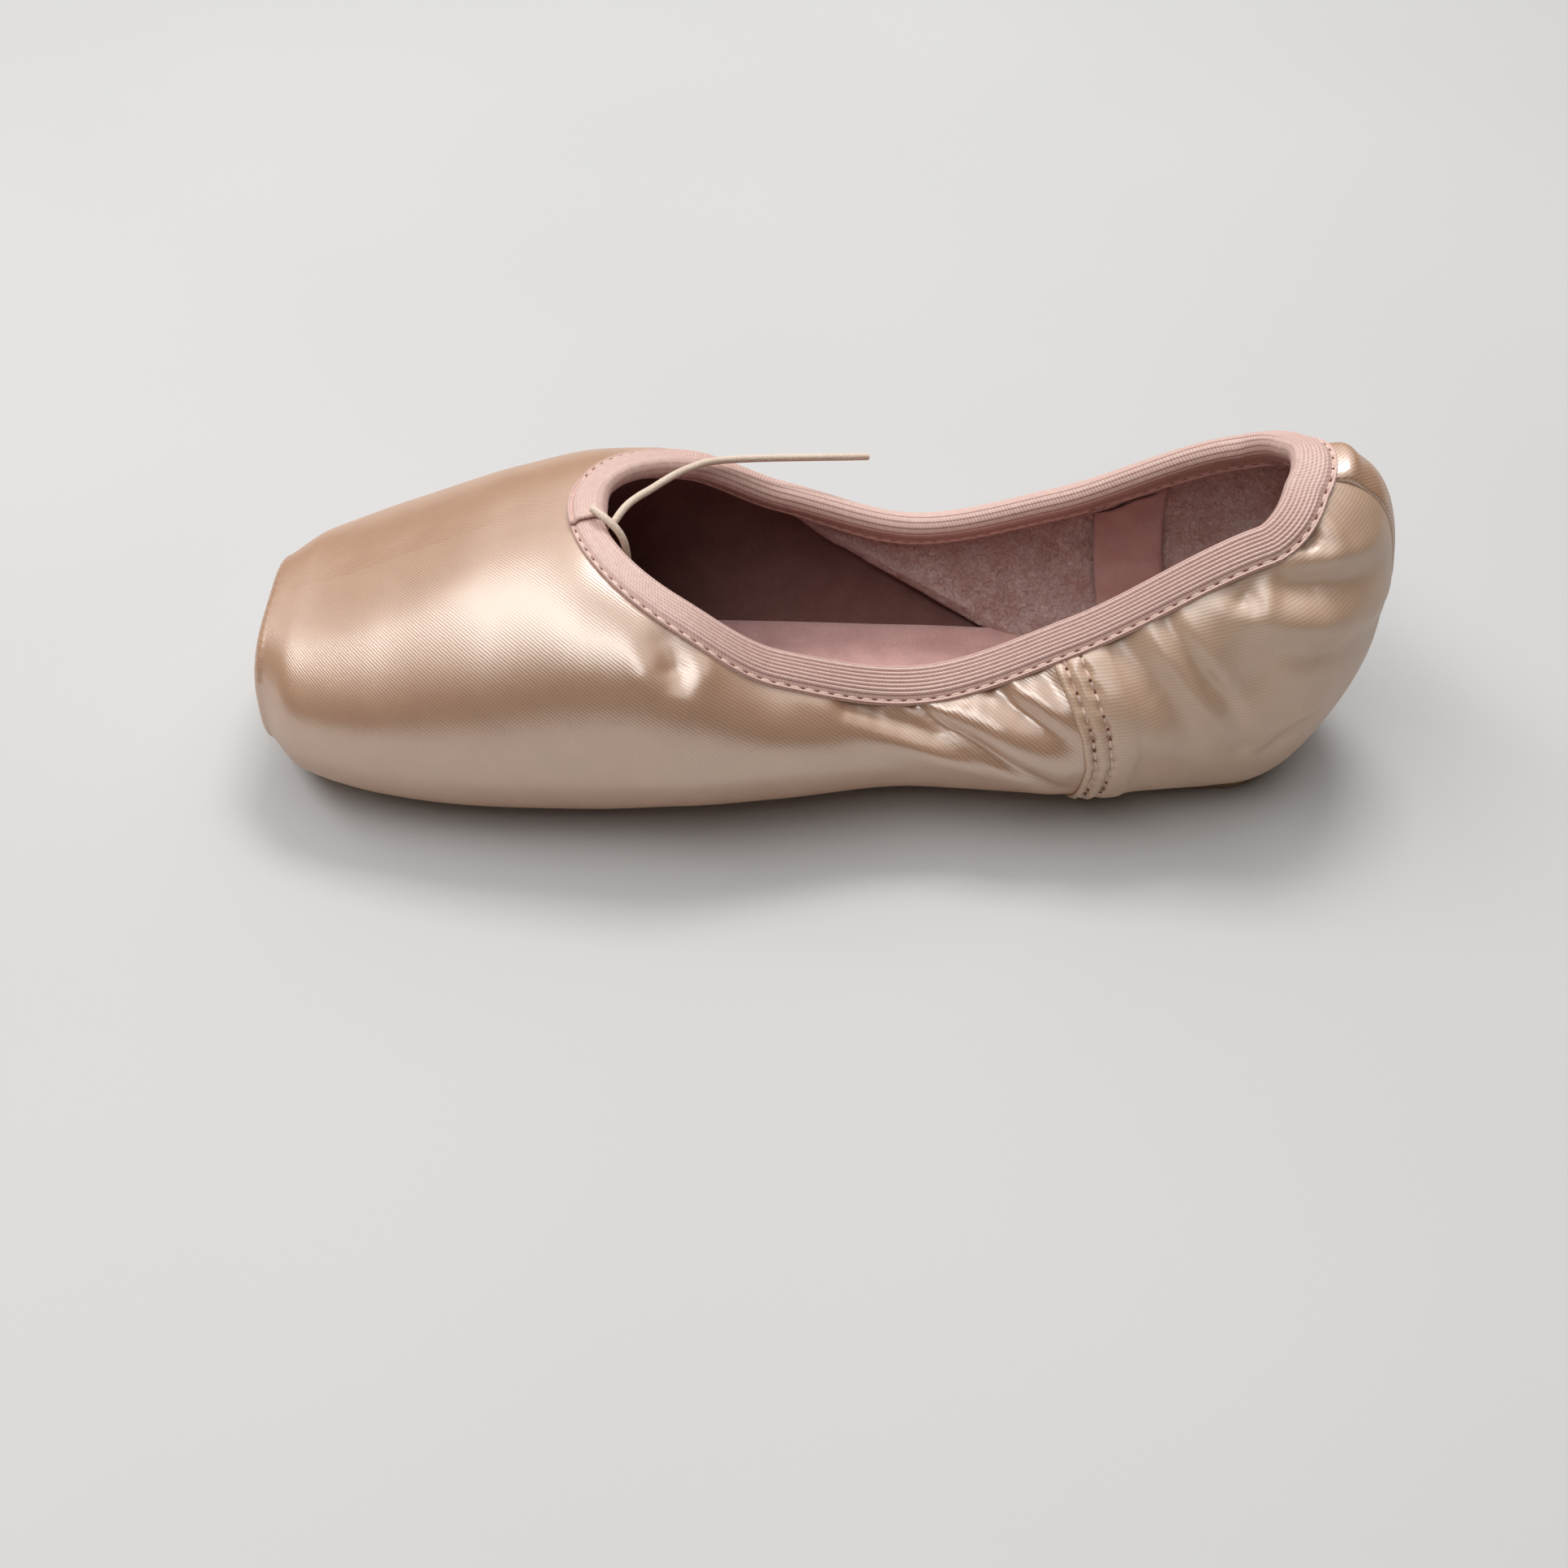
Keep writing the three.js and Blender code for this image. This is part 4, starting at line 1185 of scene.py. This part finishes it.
def back_tape(material):
    """The satin tape down the middle of the back, standing off a little at its top."""
    parts = np.linspace(0, 1, 92)
    across = np.linspace(-BACK_TAPE_HALF, BACK_TAPE_HALF, 15)
    table = skin_table(parts, 1.5)
    back_out = np.maximum(table[1][-1], 6)
    rows = []
    for offset in across:
        stations = BACK - FAN * np.abs(offset) / back_out / (np.pi / 2)
        points, _ = on_skin(table, stations[None, :], NEAR if offset < 0 else FAR)
        rows.append(points[0])
    points = np.array(rows)
    normals = grid_normals(points, FAR)
    normals *= np.sign(normals[..., :1] + 1e-9)
    raised = np.zeros(points.shape[:2])
    for side, half in ((NEAR, across < 0), (FAR, across >= 0)):
        raised[half] = fold_heights(points[half], HEEL_FOLDS, side) + slack(points[half], *HEEL_SLACK)
    edge = 1 - np.abs(across / BACK_TAPE_HALF)[:, None] ** 6
    bow = 1.2 * np.exp(-((parts - 0.9) / 0.025) ** 2)[None, :] * edge
    tucked = np.clip((0.955 - parts) / 0.04, 0, 1)[None, :]
    points = points + normals * (raised + (0.2 + 0.35 * edge) * tucked + bow)[..., None]
    uvs = np.stack(np.meshgrid(across, parts * BACK_TAPE_LONG, indexing="ij"), -1)
    foot = 4
    sheet = sheet_mesh(points[:, foot:], uvs[:, foot:])
    face_outwards(sheet, (80, 0, 35))
    return finished("back_tape", sheet, material, "upper", BACK_TAPE_THICK)


def inside_tape(material):
    """A plain cotton tape down the far inner wall, under the binding, lying on the fleece."""
    parts = np.linspace(0, 1, 76)
    stations = np.linspace(*INSIDE_TAPE, 16)[:, None] + INSIDE_TAPE_SLANT * (0.6 - parts[None, :])
    points, normals, uvs, moved = hung_clear(parts, stations, FAR, lambda points: 0.3)
    moved -= normals * (1.0 + slack(points, *TAPE_SLACK))[..., None]
    seen = slice(12, 66)
    sheet = sheet_mesh(moved[:, seen], uvs[:, seen])
    face_outwards(sheet, (70, 0, 35))
    bmesh.ops.reverse_faces(sheet, faces=sheet.faces)
    return finished("inside_tape", sheet, material, "upper", INSIDE_TAPE_THICK)


# Bottom pieces


def bottom_stations(toe_x, long):
    """Stations of a bottom piece, closest together round its toe."""
    toe = toe_x + long * (1 - np.cos(np.linspace(0, np.pi / 2, 16)))
    middle = np.linspace(toe_x + long, HEEL_CENTRE_X, 60)[1:]
    return np.concatenate([toe, middle, np.linspace(HEEL_CENTRE_X, BACK, 26)[1:]])


def bottom_piece(name, rows, material, node):
    """A piece under or in the shoe from its half profiles, near and far, closed along the middle."""
    near = rows * np.array([1, -1, 1])
    points = np.concatenate([near, rows[:, ::-1], near[:, :1]], 1)
    sheet = sheet_mesh(points, points[..., :2])
    weld(sheet, 0.02)
    bmesh.ops.recalc_face_normals(sheet, faces=sheet.faces)
    return finished(name, sheet, material, node)


def outsole(material):
    """The leather outsole, with its edges rounded by wear."""
    stations = bottom_stations(SOLE_TOE_X, SOLE_TOE_LONG)
    s = sections_at(stations)
    half = (s["bottom_half"] + SOLE_LAP) * round_end(stations, SOLE_TOE_X, SOLE_TOE_LONG)
    under = np.maximum(s["bottom_z"] - GAP - SOLE_THICK, 0)
    edge = low_z(s, half) - GAP
    flat = np.minimum(half, s["bottom_half"])
    profile = [(0 * half, under), (half * 0.5, under), (np.maximum(half - 0.9, 0), under)]
    for turn in np.linspace(0, np.pi / 2, 5)[1:]:
        out = half - SOLE_ROUND * (1 - np.sin(turn))
        profile.append((np.maximum(out, 0), under + SOLE_ROUND * (1 - np.cos(turn))))
    inner = s["bottom_z"] - GAP
    profile += [(half, edge - 0.3), (np.maximum(half - 0.3, 0), edge), (flat, inner), (0 * half, inner)]
    rows = np.stack([placed(stations, out, z, FAR) for out, z in profile], 1)
    return bottom_piece("leather_outsole", rows, material, "outsole")


def insole(material):
    """The felt sock on its board, slightly hollow along the middle."""
    stations = bottom_stations(INSOLE_TOE_X, INSOLE_TOE_LONG)
    s = sections_at(stations)
    half = (s["bottom_half"] + INSOLE_LAP) * round_end(stations, INSOLE_TOE_X, INSOLE_TOE_LONG)
    floor = s["bottom_z"] + WALL + GAP
    rim = low_z(s, half) + (WALL + GAP) * 1.08
    top = floor + INSOLE_THICK
    profile = [(0 * half, floor), (half * INSOLE_LEVEL, floor), (half, rim), (half, rim + INSOLE_EDGE * 0.7),
               (half - 0.5, rim + INSOLE_EDGE)]
    for part in np.linspace(1, 0, 14)[1:]:
        lift = np.clip((part - INSOLE_LEVEL) / (1 - INSOLE_LEVEL), 0, 1) ** 1.6
        profile.append((half * part * 0.98, top + (rim + INSOLE_EDGE - top) * lift))
    rows = np.stack([placed(stations, np.maximum(out, 0), z, FAR) for out, z in profile], 1)
    return bottom_piece("felt_insole", rows, material, "insole")


# The drawstring's two ends, as routed in the CAD model

DRAWSTRING_END = [
    (-41.6, -6.2, 57.2), (-40.4, -4.4, 58.3), (-39.1, -2.3, 58.9), (-37.1, 1.2, 58.6), (-34.9, 5, 57.7),
    (-32.4, 9.8, 56.5), (-29.7, 14.8, 55.1), (-27, 18.9, 53.8), (-24, 22.6, 52.5), (-20.2, 25.6, 51.1),
    (-15.8, 28, 49.8), (-11, 29.8, 48.8), (-5.6, 31.5, 47.8), (0, 33.2, 46.8), (5.3, 35, 45.7),
    (10.5, 37, 44.5),
]
DRAWSTRING_LOOP = [
    (-45.6, -5.6, 60.6), (-44.3, -7, 60.6), (-42.7, -8.3, 60.1), (-41.1, -9.2, 59), (-39.9, -9.8, 57.5),
    (-39.2, -10, 55.8), (-38.9, -9.9, 53.9), (-38.8, -9.6, 51.8), (-38.8, -9.4, 49.5), (-38.5, -9.5, 47),
    (-38, -9.9, 44.3), (-37.3, -10.4, 41.5), (-36.3, -10.9, 38.6), (-35, -11.4, 35.8), (-33.4, -11.8, 33.2),
]


def drawstring(name, route, material, node):
    """One end of the drawstring: a round cord along its route."""
    curve = bpy.data.curves.new(name, "CURVE")
    curve.dimensions = "3D"
    curve.bevel_depth = CORD_DIAMETER / 2 * MM
    curve.bevel_resolution = 4
    curve.use_fill_caps = True
    curve.resolution_u = 6
    spline = curve.splines.new("BEZIER")
    spline.bezier_points.add(len(route) - 1)
    for knot, place in zip(spline.bezier_points, route):
        knot.co = Vector(place) * MM
        knot.handle_left_type = knot.handle_right_type = "AUTO"
    curve.materials.append(material)
    cord = bpy.data.objects.new(name, curve)
    bpy.context.scene.collection.objects.link(cord)
    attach(cord, "root")
    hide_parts(node)
    return cord


# The stage

PHOTO_SIZE = 1932
PHOTO_FOCAL = 2731
ORIGIN_PIXEL = (1007, 888)
CAMERA_TURN = math.radians(0.9)
CAMERA_TILT = math.radians(42.8)
CAMERA_DISTANCE = 488
FLOOR_HALF = 1.3
FLOOR_FADE = (0.6, 1.25)
ROOM_LIGHT, ROOM_SEEN = 0.08, 1.0


def camera():
    """A camera at the photograph's angle, with the shoe's origin on the pixel where it lies there."""
    level = math.cos(CAMERA_TILT)
    back = Vector((math.sin(CAMERA_TURN) * level, -math.cos(CAMERA_TURN) * level, math.sin(CAMERA_TILT)))
    right = Vector((math.cos(CAMERA_TURN), math.sin(CAMERA_TURN), 0))
    up = back.cross(right)
    aside = [CAMERA_DISTANCE * (pixel - PHOTO_SIZE / 2) / PHOTO_FOCAL for pixel in ORIGIN_PIXEL]
    lens = bpy.data.cameras.new("camera")
    lens.sensor_width = 36
    lens.lens = lens.sensor_width * PHOTO_FOCAL / PHOTO_SIZE
    lens.clip_start = 0.01
    view = bpy.data.objects.new("camera", lens)
    turned = Matrix((right, up, back)).transposed().to_4x4()
    place = (back * CAMERA_DISTANCE - right * aside[0] + up * aside[1]) * MM
    view.matrix_world = Matrix.Translation(place) @ turned
    bpy.context.scene.collection.objects.link(view)
    bpy.context.scene.camera = view


def area_light(name, place, target, size, power, turned=0):
    """A soft white panel facing a target, turned about its own axis by degrees, in metres and watts."""
    lamp = bpy.data.lights.new(name, "AREA")
    lamp.shape = "RECTANGLE"
    lamp.size, lamp.size_y = size
    lamp.energy = power
    holder = bpy.data.objects.new(name, lamp)
    aim = (Vector(target) - Vector(place)).to_track_quat("-Z", "Y").to_matrix().to_4x4()
    holder.matrix_world = Matrix.Translation(place) @ aim @ Matrix.Rotation(math.radians(turned), 4, "Z")
    bpy.context.scene.collection.objects.link(holder)


def stage():
    """A pale floor in a dim room, under a slanting window, a ceiling, a rear wall and a small lamp behind."""
    floor = bmesh.new()
    bmesh.ops.create_grid(floor, x_segments=1, y_segments=1, size=FLOOR_HALF)
    mesh = bpy.data.meshes.new("floor")
    floor.to_mesh(mesh)
    floor.free()
    mesh.materials.append(floor_paper())
    ground = bpy.data.objects.new("floor", mesh)
    bpy.context.scene.collection.objects.link(ground)
    world = bpy.data.worlds.new("room")
    world.use_nodes = True
    world.node_tree.nodes.clear()
    sight = add(world, "LightPath")
    level = add(world, "MapRange", {0: sight.outputs["Is Camera Ray"], 3: ROOM_LIGHT, 4: ROOM_SEEN})
    room = add(world, "Background", {0: linear("#D7D8D8"), 1: level})
    add(world, "OutputWorld", {0: room})
    bpy.context.scene.world = world
    bpy.context.scene.view_settings.view_transform = "Standard"
    area_light("window", (-0.7, -0.1, 1.2), (-0.7, -0.1, 0), (2.45, 0.5), 15, -62)
    area_light("ceiling", (0.2, 0.1, 1.6), (0.2, 0.1, 0), (2, 2), 10)
    area_light("rear_wall", (0, 1.2, 1.0), (0, 0, 0), (2.4, 1.1), 6.2)
    area_light("rear_lamp", (0.12, 0.5, 1.15), (0, 0, 0), (0.45, 0.35), 6.5)


def main():
    """Sets the stage and makes every piece."""
    camera()
    stage()
    cord = braided_cord()
    drawstring("drawstring_free_end", DRAWSTRING_END, cord, "drawstring_end")
    drawstring("drawstring_tucked_end", DRAWSTRING_LOOP, cord, "drawstring_loop")
    satin = woven_satin()
    front(satin)
    heel(stretch_satin())
    # The front lining's dark brown is partly the cotton's own colour and partly painted shade of the box's
    # inside.
    toe_lining(felt("shaded_cotton_lining", "#6B4640", "#7C554D"))
    fleece_lining(brushed_fleece())
    binding(ribbed_elastic())
    stitches(sewing_thread(), needle_shadow())
    back_tape(satin)
    inside_tape(felt("cotton_tape", "#B98C86", "#C79C95"))
    outsole(sole_leather())
    insole(felt("felt_sock", "#CA9A95", "#E6B7B1"))


main()
